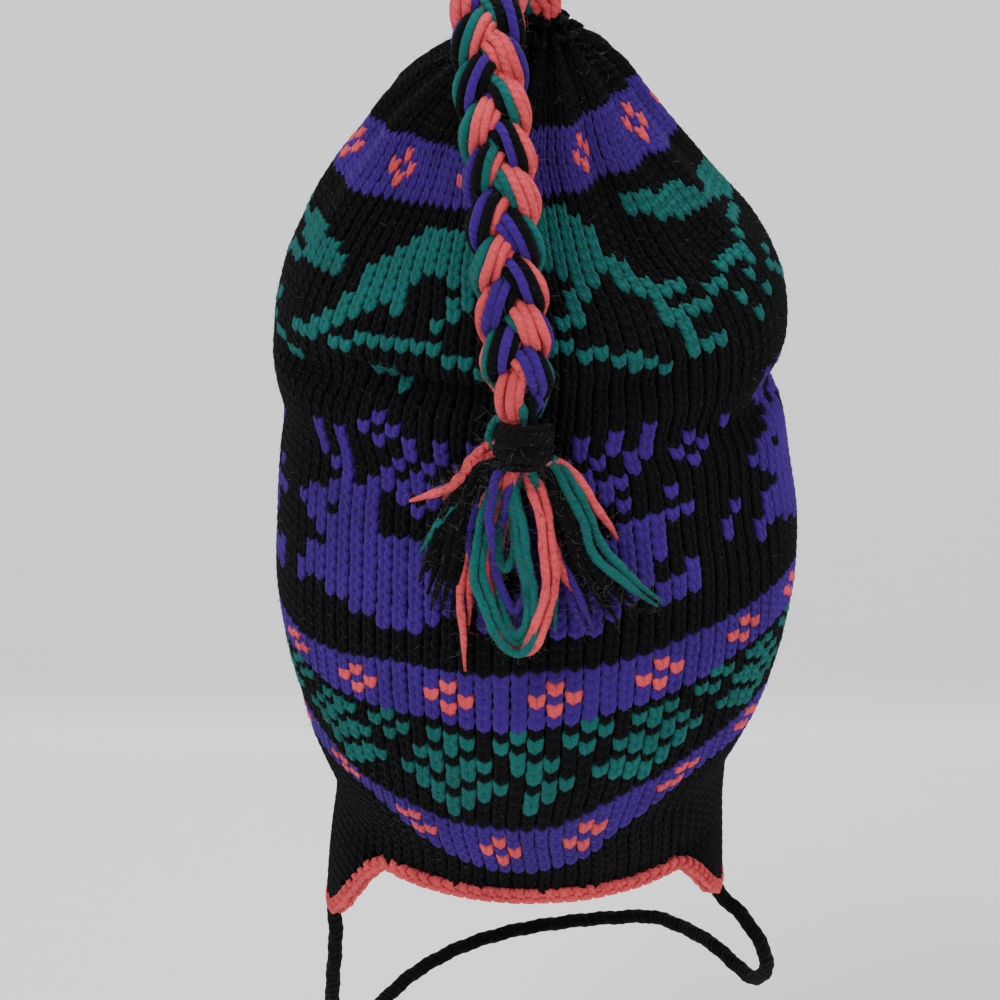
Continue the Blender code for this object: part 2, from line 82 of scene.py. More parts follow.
# Crown sections from the rim up. Rise is a share of TALL from the origin, lean, back and
# front are shares of HALF_DEEP, wide and shift are shares of HALF_WIDE, tilt is in degrees
# and takes the nape side down.
SECTION_COLUMNS = ("rise", "lean", "tilt", "wide", "back", "front", "shift")
SECTIONS = (
    (-0.532, 0.000, 8.0, 0.755, 0.745, 0.936, -0.004),
    (-0.496, 0.000, 8.0, 0.758, 0.809, 0.952, -0.002),
    (-0.455, 0.000, 7.5, 0.792, 0.872, 0.968, -0.020),
    (-0.415, 0.000, 7.0, 0.850, 0.926, 0.979, -0.012),
    (-0.375, 0.000, 6.5, 0.897, 0.963, 0.989, 0.002),
    (-0.314, 0.000, 6.0, 0.954, 0.993, 0.995, 0.010),
    (-0.235, 0.000, 6.0, 0.993, 1.000, 0.995, 0.016),
    (-0.157, 0.000, 6.0, 0.993, 0.995, 0.979, 0.023),
    (-0.079, 0.000, 6.5, 0.968, 0.968, 0.952, 0.012),
    (-0.021, 0.000, 7.0, 0.945, 0.945, 0.915, 0.009),
    (0.018, -0.007, 7.5, 0.940, 0.930, 0.894, -0.023),
    (0.057, -0.026, 8.5, 0.963, 0.920, 0.894, -0.015),
    (0.096, -0.043, 10.0, 0.963, 0.912, 0.883, -0.004),
    (0.136, -0.081, 12.0, 0.944, 0.894, 0.862, 0.002),
    (0.175, -0.119, 14.0, 0.904, 0.851, 0.819, -0.002),
    (0.214, -0.154, 15.5, 0.838, 0.787, 0.755, -0.012),
    (0.252, -0.189, 17.0, 0.754, 0.718, 0.681, -0.039),
    (0.290, -0.236, 18.5, 0.669, 0.638, 0.606, -0.048),
    (0.328, -0.283, 20.0, 0.574, 0.548, 0.521, -0.051),
    (0.365, -0.331, 21.0, 0.491, 0.468, 0.447, -0.057),
    (0.402, -0.376, 21.0, 0.387, 0.372, 0.351, -0.029),
    (0.420, -0.396, 20.0, 0.318, 0.298, 0.287, -0.014),
    (0.438, -0.419, 18.0, 0.216, 0.202, 0.191, 0.012),
    (0.456, -0.441, 15.0, 0.134, 0.128, 0.122, 0.030),
    (0.468, -0.454, 10.0, 0.076, 0.069, 0.069, 0.035),
)

# Dents and creases. Angle is in degrees from the nape, plus to the right, level is a share
# of TALL, spread is in degrees, reach is a share of TALL and depth a share of HALF_WIDE.
DENT_COLUMNS = ("angle", "level", "spread", "reach", "depth")
DENTS = (
    (-58.0, 0.075, 20.0, 0.020, 0.060),
    (-32.0, 0.105, 20.0, 0.018, 0.085),
    (-8.0, 0.100, 12.0, 0.020, 0.035),
    (24.0, 0.110, 13.0, 0.030, 0.055),
    (72.0, 0.025, 16.0, 0.030, 0.035),
    (150.0, 0.030, 50.0, 0.030, 0.035),
    (-47.0, 0.300, 11.0, 0.075, 0.050),
    (38.0, 0.260, 9.0, 0.090, 0.060),
    (52.0, -0.110, 9.0, 0.090, 0.022),
    (-30.0, -0.060, 9.0, 0.060, 0.012),
)

# Flutes of the gathered top: angle of each valley and its share of the full depth
FLUTE_COLUMNS = ("angle", "share")
FLUTES = (
    (-165.0, 0.8),
    (-136.0, 1.0),
    (-108.0, 0.8),
    (-80.0, 0.9),
    (-56.0, 0.7),
    (-35.0, 1.0),
    (-12.0, 0.7),
    (13.0, 0.9),
    (35.0, 1.0),
    (60.0, 0.8),
    (86.0, 1.0),
    (114.0, 0.8),
    (146.0, 1.0),
)
FLUTE_SPREAD = 8.5
FLUTE_DEPTH = 0.050
FLUTE_OF_RADIUS = 0.20
FLUTE_LOW = 0.150
FLUTE_HIGH = 0.360

# Outline of an ear flap: angle from the nape in degrees, and share of its full drop
FLAP_OUTLINE = (
    (46.0, 0.00),
    (50.0, 0.03),
    (54.0, 0.12),
    (59.0, 0.29),
    (65.0, 0.53),
    (71.0, 0.75),
    (78.0, 0.92),
    (86.0, 0.99),
    (92.0, 1.00),
    (99.0, 0.94),
    (106.0, 0.78),
    (113.0, 0.54),
    (119.0, 0.30),
    (125.0, 0.10),
    (130.0, 0.01),
    (134.0, 0.00),
)

# Middle line of the braid, from the gather over the top and down the back, in shares of
# HALF_WIDE, HALF_DEEP and TALL, as are the middle of the wrap and the route of the chin tie
BRAID_ROUTE = (
    (0.0175, -0.4574, 0.4827),
    (-0.0234, -0.5053, 0.5062),
    (-0.0935, -0.6064, 0.5196),
    (-0.1460, -0.7234, 0.5042),
    (-0.1600, -0.8191, 0.4657),
    (-0.1519, -0.8883, 0.4080),
    (-0.1343, -0.9415, 0.3464),
    (-0.1121, -0.9947, 0.2694),
    (-0.0900, -1.0340, 0.1925),
    (-0.0678, -1.0553, 0.1155),
    (-0.0491, -1.0585, 0.0654),
    (-0.0397, -1.0585, 0.0431),
)
WRAP_MIDDLE = (-0.0386, -1.0585, 0.0027)

# Route of the chin tie, from the left flap tip round the front to the right tip
TIE_ROUTE = (
    (-0.7769, 0.0000, -0.6857),
    (-0.7769, 0.0021, -0.7044),
    (-0.7757, 0.0234, -0.7429),
    (-0.7886, 0.0532, -0.7948),
    (-0.7967, 0.1011, -0.8430),
    (-0.7757, 0.1915, -0.8853),
    (-0.7126, 0.3191, -0.9084),
    (-0.6192, 0.4787, -0.9045),
    (-0.4848, 0.6277, -0.8834),
    (-0.2921, 0.7447, -0.8622),
    (-0.0584, 0.8032, -0.8449),
    (0.1869, 0.7926, -0.8295),
    (0.3855, 0.7340, -0.8152),
    (0.5339, 0.6596, -0.8045),
    (0.6542, 0.5426, -0.8037),
    (0.7629, 0.3936, -0.8064),
    (0.8435, 0.2606, -0.8152),
    (0.9054, 0.1223, -0.8149),
    (0.9439, 0.0053, -0.7871),
    (0.9322, -0.0479, -0.7544),
    (0.8855, -0.0479, -0.7236),
    (0.8271, -0.0298, -0.6998),
    (0.7734, -0.0128, -0.6844),
    (0.7395, -0.0021, -0.6709),
    (0.7336, 0.0000, -0.6559),
)

# ---- Knitting: rows, columns and charts ----

COLUMNS = 84
HALF_ROUND = COLUMNS // 2
ROW_LOW = -20
ROW_TOP = 78
ROW_PITCH = 3.5
# The last yarn is the pale colour of loose fibres, painted highlight for the light they catch.
BLACK, PURPLE, TEAL, CORAL, PALE_HIGHLIGHT = range(5)
YARNS = ("black", "purple", "teal", "coral", "pale")

# Bands of flowers: first of their five rows, and the column of one flower. The flowers of
# the top band are listed as TOP_FLOWERS
FLOWER_BANDS = ((3, 4), (18, 1))
TOP_BAND = 64

# Lines of the knitting: row number, then columns from the seam with the line's height in mm,
# measured up the nape from the rim
ROW_LINES = (
    (3, ((-42, 12), (-34, 18), (-27, 30), (-21, 35), (-17, 35), (-14.6, 33), (-11.6, 30.5),
         (-9.3, 24.9), (-7, 16.5), (-4.6, 10.8), (-2.2, 7.8), (0.6, 7.8), (3.6, 11.9),
         (5.2, 15.1), (6.7, 22.2), (8.1, 26.1), (9.3, 30.6), (11.2, 37.2), (13.2, 40.7),
         (17, 42), (21, 40), (27, 32), (34, 18))),
    (8, ((-42, 30), (-34, 34), (-27, 42), (-21, 46), (-17, 45), (-14.4, 41.4), (-11.4, 35.4),
         (-9.3, 34.0), (-6.6, 30.9), (-4.8, 28.6), (-2.5, 28.4), (0.2, 27.4), (2.5, 28.9),
         (4.6, 34.4), (7.0, 40.5), (8.3, 42), (10.3, 46.1), (12.6, 50), (17, 55), (21, 54),
         (27, 47), (34, 35))),
    (18, ((-42, 67), (-34, 67), (-27, 68), (-20, 68), (-16, 67.2), (-12.6, 65), (-7.9, 65.2),
          (-5.6, 66.2), (-3.2, 64), (-0.9, 63.8), (1.1, 65.8), (3, 67), (4.5, 68.9), (7.2, 71),
          (9.8, 73.3), (12.9, 77.7), (18, 80), (26, 77), (34, 71))),
    (23, ((-42, 84), (-34, 83), (-27, 82), (-20, 79), (-15.1, 76.5), (-11.8, 77.9),
          (-9.3, 80.1), (-7.2, 81.6), (-4.8, 81.4), (-2.1, 81), (0.8, 83.2), (3.5, 83.6),
          (6.2, 85.6), (9.3, 89.1), (12.3, 90.4), (18, 93), (26, 91), (34, 87))),
    (45, ((-42, 160), (-30, 155), (-21, 154), (-16, 155.5), (-8, 158), (0, 159.8), (8, 163.3),
          (16, 166.1), (21, 167), (30, 165))),
    (64, ((-42, 219), (-30, 213), (-22, 212.3), (-16, 216.2), (-10, 219.8), (-7, 223),
          (3, 228.3), (9, 229), (16.6, 230), (22.6, 225), (32, 223))),
    (69, ((-42, 236), (-30, 230), (-23, 230.8), (-15, 237.8), (-7, 239.6), (1, 248.5),
          (9, 248.5), (13, 252), (19, 251.3), (30, 244))),
)

# Tree, as columns from its middle for each row, and the tulip between two trees
TREE = ((0,), (-1, 0, 1), (-2, -1, 1, 2), (-3, -2, 0, 2, 3), (-1, 0, 1), (-2, -1, 1, 2),
        (0,), (-1, 0, 1), ())
TULIP = {15: (-4,), 16: (-3, 3), 17: (-4,)}

# Deer, from its antlers down. The seam cuts the one on its right, and small figures stand
# between two of them
DEER_TOP = 44
DEER_STARTS = (-16, 15, 33, 50)
DEER_CUT = (-6, 9)
DEER = (
    ".......#........",
    "......#.#.......",
    "..#.#..#.#.#.#..",
    "..#.#....#.#.#..",
    "..#.#...#.#.##..",
    "...##..#.#..#...",
    "....#.######....",
    "...####.#.#.....",
    ".######..#.#..#.",
    "###.###.........",
    ".######....#####",
    "..############..",
    "...###########..",
    ".#############..",
    ".############...",
    "#############..#",
    "#..#########.###",
    ".....######..###",
    ".......###......",
)
SPARE_FIGURES = ((10, 40), (9, 39), (11, 39), (10, 38), (13, 40), (13, 32), (12, 31), (12, 30))

# Skiers, repeated every 42 columns: first and last columns of each stretch in a row
SKIERS = {
    62: ((-3, 4),),
    61: ((-8, 5), (11, 13)),
    60: ((-9, 6), (11, 17)),
    59: ((-10, 6), (13, 18), (-21, -18)),
    58: ((-11, 6), (15, 20), (-21, -16)),
    57: ((-12, -8), (-5, -2), (3, 7), (-21, -15)),
    56: ((-12, -9), (-4, -3), (4, 5), (7, 8), (-19, -15)),
    55: ((-12, -9), (-5, -4), (3, 4), (7, 8), (20, 20), (-21, -20)),
    54: ((-13, -11), (-9, -9), (-5, -5), (3, 3), (8, 9), (19, 19)),
    53: ((-13, -12), (-6, -6), (2, 3), (9, 11), (15, 18)),
    52: ((-14, -13), (9, 9), (13, 14), (18, 18)),
    51: ((-15, -14), (-11, -6), (1, 2), (9, 12), (17, 17), (-21, -21)),
    50: ((-17, -15), (-13, -12), (-5, -4), (3, 4), (10, 10), (15, 15), (20, 20)),
    49: ((-3, -1), (5, 6), (10, 10), (18, 18), (-21, -21)),
    48: ((10, 12), (6, 7), (-10, -9), (16, 16), (-20, -19)),
    47: ((8, 8), (-8, -8), (-18, -17)),
}
TOP_FLOWERS = (-40, -31, -23, -14, -5, 1, 8, 17, 26, 34)

# The face that stitches lie on is sampled so often in each column and row
FACE_ACROSS = 4
FACE_UP = 2

# A leg of a stitch: shares of its length, its thickness and its rise in mm at each, and the
# sides of its yarn. Then how far each yarn stands out, and how much wider a coloured one is
LEG_STEPS = (0.0, 0.28, 0.72, 1.0)
LEG_ROUND = (0.58, 1.0, 0.96, 0.45)
LEG_RISE = (-0.25, 0.16, -0.14, -1.10)
LEG_SIDES = 5
YARN_SWELL = (0.0001, 0.00022, 0.00030, 0.00045)
COLOUR_WIDER = 1.20

# Rings of cloth from the rim to the gather, behind the stitches
LINING_LEVELS = 80

# Spun wool: plies in a yarn and how fast they wind, in radians per mm
PLIES = 2.0
PLY_TURN = 2.6

# Crochet stitch: lean and side of each post, then the chain's places along, down and out
EDGE_POSTS = ((0.0013, 1.0), (-0.0006, 1.0), (0.0012, -1.0), (-0.0008, -1.0))
EDGE_POST = 0.00080
EDGE_CHAINS = ((-0.0006, 0.0012, 0.0002), (0.0012, 0.0019, 0.0015),
               (0.0040, 0.0020, 0.0013), (0.0061, 0.0012, 0.0001))
EDGE_CHAIN = 0.00105

# Yarns of each strand of the braid, the last one its core
BRAID_COLOURS = (
    (CORAL, CORAL, CORAL, TEAL, BLACK, PURPLE, BLACK, CORAL, BLACK),
    (CORAL, CORAL, PURPLE, PURPLE, BLACK, TEAL, CORAL, CORAL, BLACK),
    (TEAL, TEAL, CORAL, CORAL, CORAL, PURPLE, BLACK, TEAL, BLACK),
)
STRAND_POINTS = 140

# Wound band: turns and points of its yarn, then tilt, place and level of the loops over it,
# then height as a share of its own and radius of each ring of the core
WRAP_TURNS = 8
WRAP_STEPS = 28
WRAP_LOOPS = ((0.0016, 0.4, -0.0012), (0.0024, 2.2, 0.0008), (0.0010, 4.1, 0.0022),
              (0.0014, 5.2, -0.0024))
LOOP_STEPS = 36
WRAP_CORE = ((0.45, 0.0040), (0.40, 0.0055), (0.0, 0.0072), (-0.40, 0.0055), (-0.45, 0.0040))

# Loose fibres: how many on the crown, then pieces with how many on each and how long
CROWN_FIBRES = 4500
FIBRES = (
    ("braid_yarns", 2500, 0.0054), ("tassel_yarns", 3600, 0.0058),
    ("crochet_edge_stitches", 700, 0.0026), ("braid_wrap_winding", 260, 0.0036),
)

# Stage: levels of floor and backdrop, then name, place, size and power of each light
FLOOR = -0.30
BACKDROP = 0.56
BEND = 0.04
AIM = Vector((-0.0102, 0.0, -0.039))
LIGHTS = (
    ("key_light", (-0.9, -1.1, 1.3), 0.9, 26.0),
    ("fill_light", (1.3, -1.0, 0.5), 1.2, 12.0),
    ("top_light", (0.1, -0.1, 1.7), 1.0, 14.0),
)

# ---- Tassel yarns: colour, lift off the hat in mm, then points across and down in mm ----

TASSEL_YARNS = (
    (TEAL, 9.5, ((-3.0, 5), (-8.2, 10.8), (-12.0, 21.7), (-14.4, 33.7), (-13.6, 44), (-8.2, 56.6),
                 (-1.5, 62.5), (3.6, 55), (2.6, 41.6), (0.3, 27.7), (-2.0, 14), (-1.0, 5))),
    (TEAL, 8.2, ((-3.4, 5), (-6.4, 12), (-9.8, 22.5), (-12.0, 33.7), (-11.2, 43), (-6.6, 54.0),
                 (-1.5, 59.5), (1.8, 53), (0.4, 40.6), (-2.0, 27.7), (-3.8, 14), (-2.0, 5))),
    (TEAL, 6.2, ((-2.0, 5), (-4.4, 12), (-6.6, 22.5), (-7.6, 31.7), (-5.0, 38), (-2.6, 31.0),
                 (-3.0, 20), (-2.4, 12), (-1.0, 5))),
    (PURPLE, 11.4, ((-3.2, 6), (-7.4, 9), (-9.6, 17), (-9.8, 27), (-8.4, 34))),
    (CORAL, 10.6, ((0.0, 5), (2.0, 12), (5.2, 24.7), (6.5, 39.8), (4.2, 52.0), (-1.0, 60.5, -3),
                   (-8.2, 52, -5), (-11.0, 38, -5), (-8.0, 20, -5), (-4.0, 5))),
    (CORAL, 9.6, ((1.4, 5), (4.4, 12), (7.9, 25.0), (9.1, 40.0), (6.6, 53.0), (0.6, 62.5, -2),
                  (-7.6, 54, -5), (-9.4, 38, -5), (-6.8, 20, -5), (-3.0, 5))),
    (CORAL, 8.6, ((0.6, 5), (3.4, 13), (6.8, 26.0), (7.8, 41.0), (5.2, 52.0), (-0.6, 59.0, -3),
                  (-6.6, 50, -5), (-7.4, 36, -4), (-4.8, 20, -4), (-2.0, 5))),
    (TEAL, 8.6, ((-2.0, 5), (-3.6, 12), (-2.6, 22), (-0.6, 32), (1.6, 42), (1.2, 52), (-2.4, 57),
                 (-6.0, 50, -3), (-8.0, 36, -3), (-5.0, 18, -3), (-2.0, 5))),
    (TEAL, 6.0, ((-4.0, -9), (-8.6, -6), (-9.8, -1), (-7.4, 3), (-4.0, 6))),
    (CORAL, 6.5, ((-3.0, 1), (-9.0, 0.5), (-14.0, 4), (-19.0, 11))),
    (PURPLE, 6.0, ((-2.4, 5), (-6.8, 26), (-8.6, 38), (-5.6, 45.5), (-2.0, 50.5), (0.4, 44),
                   (-1.6, 32), (-1.6, 16), (-0.6, 5))),
    (PURPLE, 7.0, ((-3.8, 5), (-9.4, 9), (-13.4, 16), (-15.8, 30), (-15.0, 42))),
    (PURPLE, 6.0, ((-3.4, 5), (-8.2, 10), (-11.4, 18), (-13.8, 30), (-12.6, 40))),
    (CORAL, 6.0, ((-4.0, 4), (-10.0, 5), (-20.0, 13), (-33.7, 18.4))),
    (CORAL, 4.8, ((-3.0, 5), (-10.0, 4), (-17.0, 9), (-24.0, 18))),
    (TEAL, 3.0, ((-3.0, 5), (-14.0, 12), (-24.0, 24), (-31.0, 34))),
    (CORAL, 6.0, ((-3.0, 5), (-13.0, 20), (-17.0, 36), (-18.6, 50), (-17.0, 70))),
    (CORAL, 5.0, ((-2.4, 5), (-12.5, 22), (-15.6, 40), (-16.4, 56))),
    (BLACK, 8.6, ((-4.0, 4), (-15.0, 9), (-22.4, 24), (-28.5, 47))),
    (BLACK, 9.8, ((-3.8, 4), (-13.6, 9), (-20.4, 25), (-26.4, 49))),
    (BLACK, 9.0, ((-3.4, 4), (-12.2, 10), (-18.4, 26), (-23.8, 51))),
    (BLACK, 6.6, ((-4.2, 4), (-16.0, 10), (-24.5, 25), (-30.8, 43))),
    (BLACK, 7.0, ((-3.0, 4), (-11.0, 12), (-17.0, 30), (-21.4, 54))),
    (BLACK, 5.0, ((-3.2, 4), (-13.4, 14), (-21.0, 32), (-27.6, 52))),
    (BLACK, 4.4, ((-2.6, 4), (-10.4, 15), (-16.4, 35), (-19.8, 57))),
    (BLACK, 3.4, ((-3.6, 4), (-14.4, 14), (-22.6, 28), (-29.0, 40))),
    (TEAL, 9.4, ((3.2, 3), (9.0, 7), (17.0, 22.9), (22.9, 35.8), (40.4, 50.6))),
    (TEAL, 8.0, ((3.8, 3), (11.2, 7), (19.4, 21.8), (25.6, 34.4), (41.4, 49.4))),
    (CORAL, 5.4, ((4.0, 4), (12.0, 7), (19.0, 15.6), (27.9, 30.0))),
    (CORAL, 7.0, ((1.4, 5), (6.0, 18), (10.3, 35.8), (17.0, 47.6))),
    (PURPLE, 6.0, ((1.6, 5), (8.0, 22), (15.2, 43.7), (21.1, 56.6))),
    (PURPLE, 5.0, ((1.4, 5), (7.0, 22), (13.2, 43.7), (19.0, 58.6))),
    (BLACK, 8.8, ((2.4, 4), (8.6, 10), (16.0, 29), (27.0, 49))),
    (BLACK, 9.2, ((2.0, 4), (6.8, 10), (13.4, 28), (23.6, 50))),
    (BLACK, 8.2, ((2.8, 4), (10.4, 11), (18.6, 30), (31.0, 51))),
    (BLACK, 6.4, ((1.8, 4), (6.0, 13), (11.6, 31), (20.6, 52))),
    (BLACK, 6.2, ((3.0, 4), (12.0, 14), (21.4, 33), (34.6, 52.6))),
    (BLACK, 4.6, ((2.2, 4), (8.6, 16), (16.8, 36), (28.0, 55))),
    (BLACK, 4.4, ((2.6, 4), (10.6, 18), (20.8, 36), (32.0, 53))),
    (TEAL, 5.0, ((0.8, 5), (5.4, 22), (8.4, 40), (9.7, 57))),
    (TEAL, 4.4, ((1.2, 5), (8.2, 24), (13.0, 40), (16.0, 54.5))),
    (BLACK, 3.4, ((-1.0, 5), (-5.0, 20), (-7.6, 36), (-9.4, 50))),
    (BLACK, 3.4, ((0.6, 5), (4.6, 20), (6.8, 36), (8.4, 48))),
)


# ---- The hat's face and lines ----


def named(columns, row):
    return dict(zip(columns, row))


def smooth_step(low, high, value):
    share = min(1.0, max(0.0, (value - low) / (high - low)))
    return share * share * (3.0 - 2.0 * share)


def blend(rows, station):
    """Values of a table between its rows, on a smooth curve through them."""
    last = len(rows) - 1
    station = min(max(station, 0.0), float(last))
    low = min(int(station), last - 1)
    share = station - low
    before = rows[max(low - 1, 0)]
    start = rows[low]
    end = rows[low + 1]
    after = rows[min(low + 2, last)]
    out = []
    for p0, p1, p2, p3 in zip(before, start, end, after):
        slope = 0.5 * (p2 - p0)
        bend = p0 - 2.5 * p1 + 2.0 * p2 - 0.5 * p3
        twist = 1.5 * (p1 - p2) + 0.5 * (p3 - p0)
        out.append(p1 + share * (slope + share * (bend + share * twist)))
    return out


def share_at(rows, value):
    """Height of an outline table at an angle, straight between its rows."""
    if value <= rows[0][0] or value >= rows[-1][0]:
        return 0.0
    for (a0, s0), (a1, s1) in zip(rows, rows[1:]):
        if a0 <= value <= a1:
            share = (value - a0) / (a1 - a0)
            share = share * share * (3.0 - 2.0 * share) * 0.35 + share * 0.65
            return s0 + (s1 - s0) * share
    return 0.0


def turn_between(angle, other):
    return (angle - other + 180.0) % 360.0 - 180.0


def dent_depth(angle, rise):
    """How far the crown's surface lies in from its plain section."""
    depth = 0.0
    for row in DENTS:
        dent = named(DENT_COLUMNS, row)
        across = turn_between(angle, dent["angle"]) / dent["spread"]
        along = (rise - dent["level"]) / dent["reach"]
        depth += dent["depth"] * math.exp(-across * across - along * along)
    return depth * HALF_WIDE


def flute_depth(angle, rise, radius):
    """Depth of the gather's valleys, growing towards the top."""
    growth = smooth_step(FLUTE_LOW, FLUTE_HIGH, rise)
    if growth <= 0.0:
        return 0.0
    full = min(FLUTE_DEPTH * HALF_WIDE, FLUTE_OF_RADIUS * radius)
    depth = 0.0
    for row in FLUTES:
        flute = named(FLUTE_COLUMNS, row)
        across = turn_between(angle, flute["angle"]) / FLUTE_SPREAD
        depth += flute["share"] * math.exp(-across * across)
    return full * growth * depth


def crown_point(angle, station):
    """A point of the crown's outer face. Angle is in degrees from the nape."""
    section = named(SECTION_COLUMNS, blend(SECTIONS, station))
    turn = math.radians(angle)
    deep = section["back"] if math.cos(turn) > 0.0 else section["front"]
    across = section["wide"] * HALF_WIDE * math.sin(turn)
    along = -deep * HALF_DEEP * math.cos(turn)
    radius = math.hypot(across, along)
    inward = dent_depth(angle, section["rise"]) + flute_depth(angle, section["rise"], radius)
    scale = max(0.0, 1.0 - inward / radius)
    across *= scale
    along *= scale
    tilt = math.radians(section["tilt"])
    x = section["shift"] * HALF_WIDE + across
    y = section["lean"] * HALF_DEEP + along * math.cos(tilt)
    z = section["rise"] * TALL + along * math.sin(tilt)
    return Vector((x, y, z))


def crown_normal(angle, station):
    """Outward direction of the crown's face."""
    low = max(station - 0.3, 0.0)
    high = min(station + 0.3, len(SECTIONS) - 1.0)
    around = crown_point(angle + 2.5, station) - crown_point(angle - 2.5, station)
    upward = crown_point(angle, high) - crown_point(angle, low)
    return around.cross(upward).normalized()


def flap_drop(angle):
    """How far the knit hangs below the rim at an angle from the nape."""
    full = RIGHT_FLAP_DROP if angle > 0.0 else LEFT_FLAP_DROP
    return full * share_at(FLAP_OUTLINE, abs(angle))


def rim_outward(angle):
    around = crown_point(angle + 2.0, 0.0) - crown_point(angle - 2.0, 0.0)
    return Vector((around.y, -around.x, 0.0)).normalized()


def flap_point(angle, down, inset):
    """A point of the ear flap's cloth, down below the rim and inset from its outer face."""
    full = RIGHT_FLAP_DROP if angle > 0.0 else LEFT_FLAP_DROP
    flare = RIGHT_FLARE if angle > 0.0 else LEFT_FLARE
    share = down / full
    outward = rim_outward(angle)
    point = crown_point(angle, 0.0)
    point += outward * (flare * share * (1.6 - 0.6 * share) - inset)
    point.z -= GAP + down
    return point


def catmull(points, per):
    """Dense points of a smooth curve through the given ones."""
    rows = [tuple(p) for p in points]
    return [Vector(blend(rows, i / per)) for i in range((len(rows) - 1) * per + 1)]


def reaches(points, scale=1.0):
    """Length along a line to each of its points."""
    reach = [0.0]
    for a, b in zip(points, points[1:]):
        reach.append(reach[-1] + (b - a).length * scale)
    return reach


def heading(points, k, closed=False):
    """Direction of a line at one of its points."""
    count = len(points)
    if closed:
        return (points[(k + 1) % count] - points[k - 1]).normalized()
    return (points[min(k + 1, count - 1)] - points[max(k - 1, 0)]).normalized()


def circle(middle, side, out, wide, thick, sides, start=0.0):
    """Points round the middle of a yarn, from two directions across it."""
    ring = []
    for i in range(sides):
        turn = math.tau * (i + start) / sides
        ring.append(middle + side * (wide * math.cos(turn)) + out * (thick * math.sin(turn)))
    return ring


def even_points(points, count, closed=False):
    """Points at even distances along a dense line."""
    line = list(points)
    if closed:
        line.append(line[0])
    reach = reaches(line)
    steps = count if closed else count - 1
    out = []
    k = 0
    for i in range(count):
        want = reach[-1] * i / steps
        while k < len(reach) - 2 and reach[k + 1] < want:
            k += 1
        span = reach[k + 1] - reach[k]
        share = (want - reach[k]) / span if span > 0.0 else 0.0
        out.append(line[k].lerp(line[k + 1], share))
    return out


def from_shares(row):
    """A point given in shares of the hat's half width, half depth and height."""
    return Vector((row[0] * HALF_WIDE, row[1] * HALF_DEEP, row[2] * TALL))


def line_length(points):
    return sum((b - a).length for a, b in zip(points, points[1:]))


def edge_line():
    """Middle line of the crochet edge, just below the rim and the flaps."""
    border = []
    outward = []
    for i in range(720):
        angle = i * 0.5 - 180.0
        down = flap_drop(angle)
        outward.append(rim_outward(angle))
        if down < LEAST_FLAP:
            point = crown_point(angle, 0.0) - outward[i] * CROWN_WALL * 0.5
            point.z -= down
        else:
            point = flap_point(angle, down, FLAP_WALL * 0.5)
        border.append(point)
    line = []
    count = len(border)
    for i in range(count):
        along = border[(i + 3) % count] - border[i - 3]
        away = along.cross(outward[i]).normalized()
        if away.z > 0.0:
            away.negate()
        line.append(border[i] + away * (EDGE_RADIUS + GAP + 0.0002))
    for _ in range(12):
        line = [(line[i - 1] + line[i] * 2.0 + line[(i + 1) % count]) * 0.25
                for i in range(count)]
    return line


def braid_frame(line, index):
    """Directions across and out from the hat at a point of the braid's middle line."""
    along = heading(line, index)
    across = Vector((1.0, 0.0, 0.0))
    across = (across - along * across.dot(along)).normalized()
    return across, across.cross(along).normalized()


def strand_line(number):
    """Middle line of one of the braid's three strands, whose chevrons point up."""
    route = [from_shares(row) for row in BRAID_ROUTE]
    line = even_points(catmull(route, 16), BRAID_POINTS)
    step = line_length(line) / (BRAID_POINTS - 1)
    points = []
    for i, middle in enumerate(line):
        across, out = braid_frame(line, i)
        phase = math.tau * (i * step / BRAID_PERIOD + number / 3.0)
        ends = smooth_step(0.0, 5.0, i) * smooth_step(0.0, 3.0, BRAID_POINTS - 1 - i)
        width = BRAID_SWING * (0.45 + 0.55 * ends)
        lift = BRAID_LIFT * (0.45 + 0.55 * ends)
        swung = middle + across * width * math.sin(phase)
        points.append(swung - out * lift * math.sin(2.0 * phase))
    return points


# ---- The face that the stitches lie on ----


def line_height(marks, column):
    """Height of one line of the knitting at a column, smooth all round the hat."""
    column = (column + HALF_ROUND) % COLUMNS - HALF_ROUND
    first = marks[0]
    ring = (*marks, (first[0] + COLUMNS, first[1]))
    for (c0, h0), (c1, h1) in zip(ring, ring[1:]):
        if c0 <= column <= c1:
            share = (column - c0) / (c1 - c0)
            return h0 + (h1 - h0) * share
    return first[1]


def between(pairs, value):
    """Second number of a row of pairs where the first has a value, straight between them."""
    for (a0, b0), (a1, b1) in zip(pairs, pairs[1:]):
        if value <= a1:
            return b0 + (b1 - b0) * (value - a0) / (a1 - a0)
    return pairs[-1][1]


def column_angle(column):
    """Angle from the nape, in degrees, of a place counted in columns from the seam."""
    turn = 360.0 / COLUMNS * column
    return -2.0 + turn - 7.16 * math.sin(math.radians(turn))


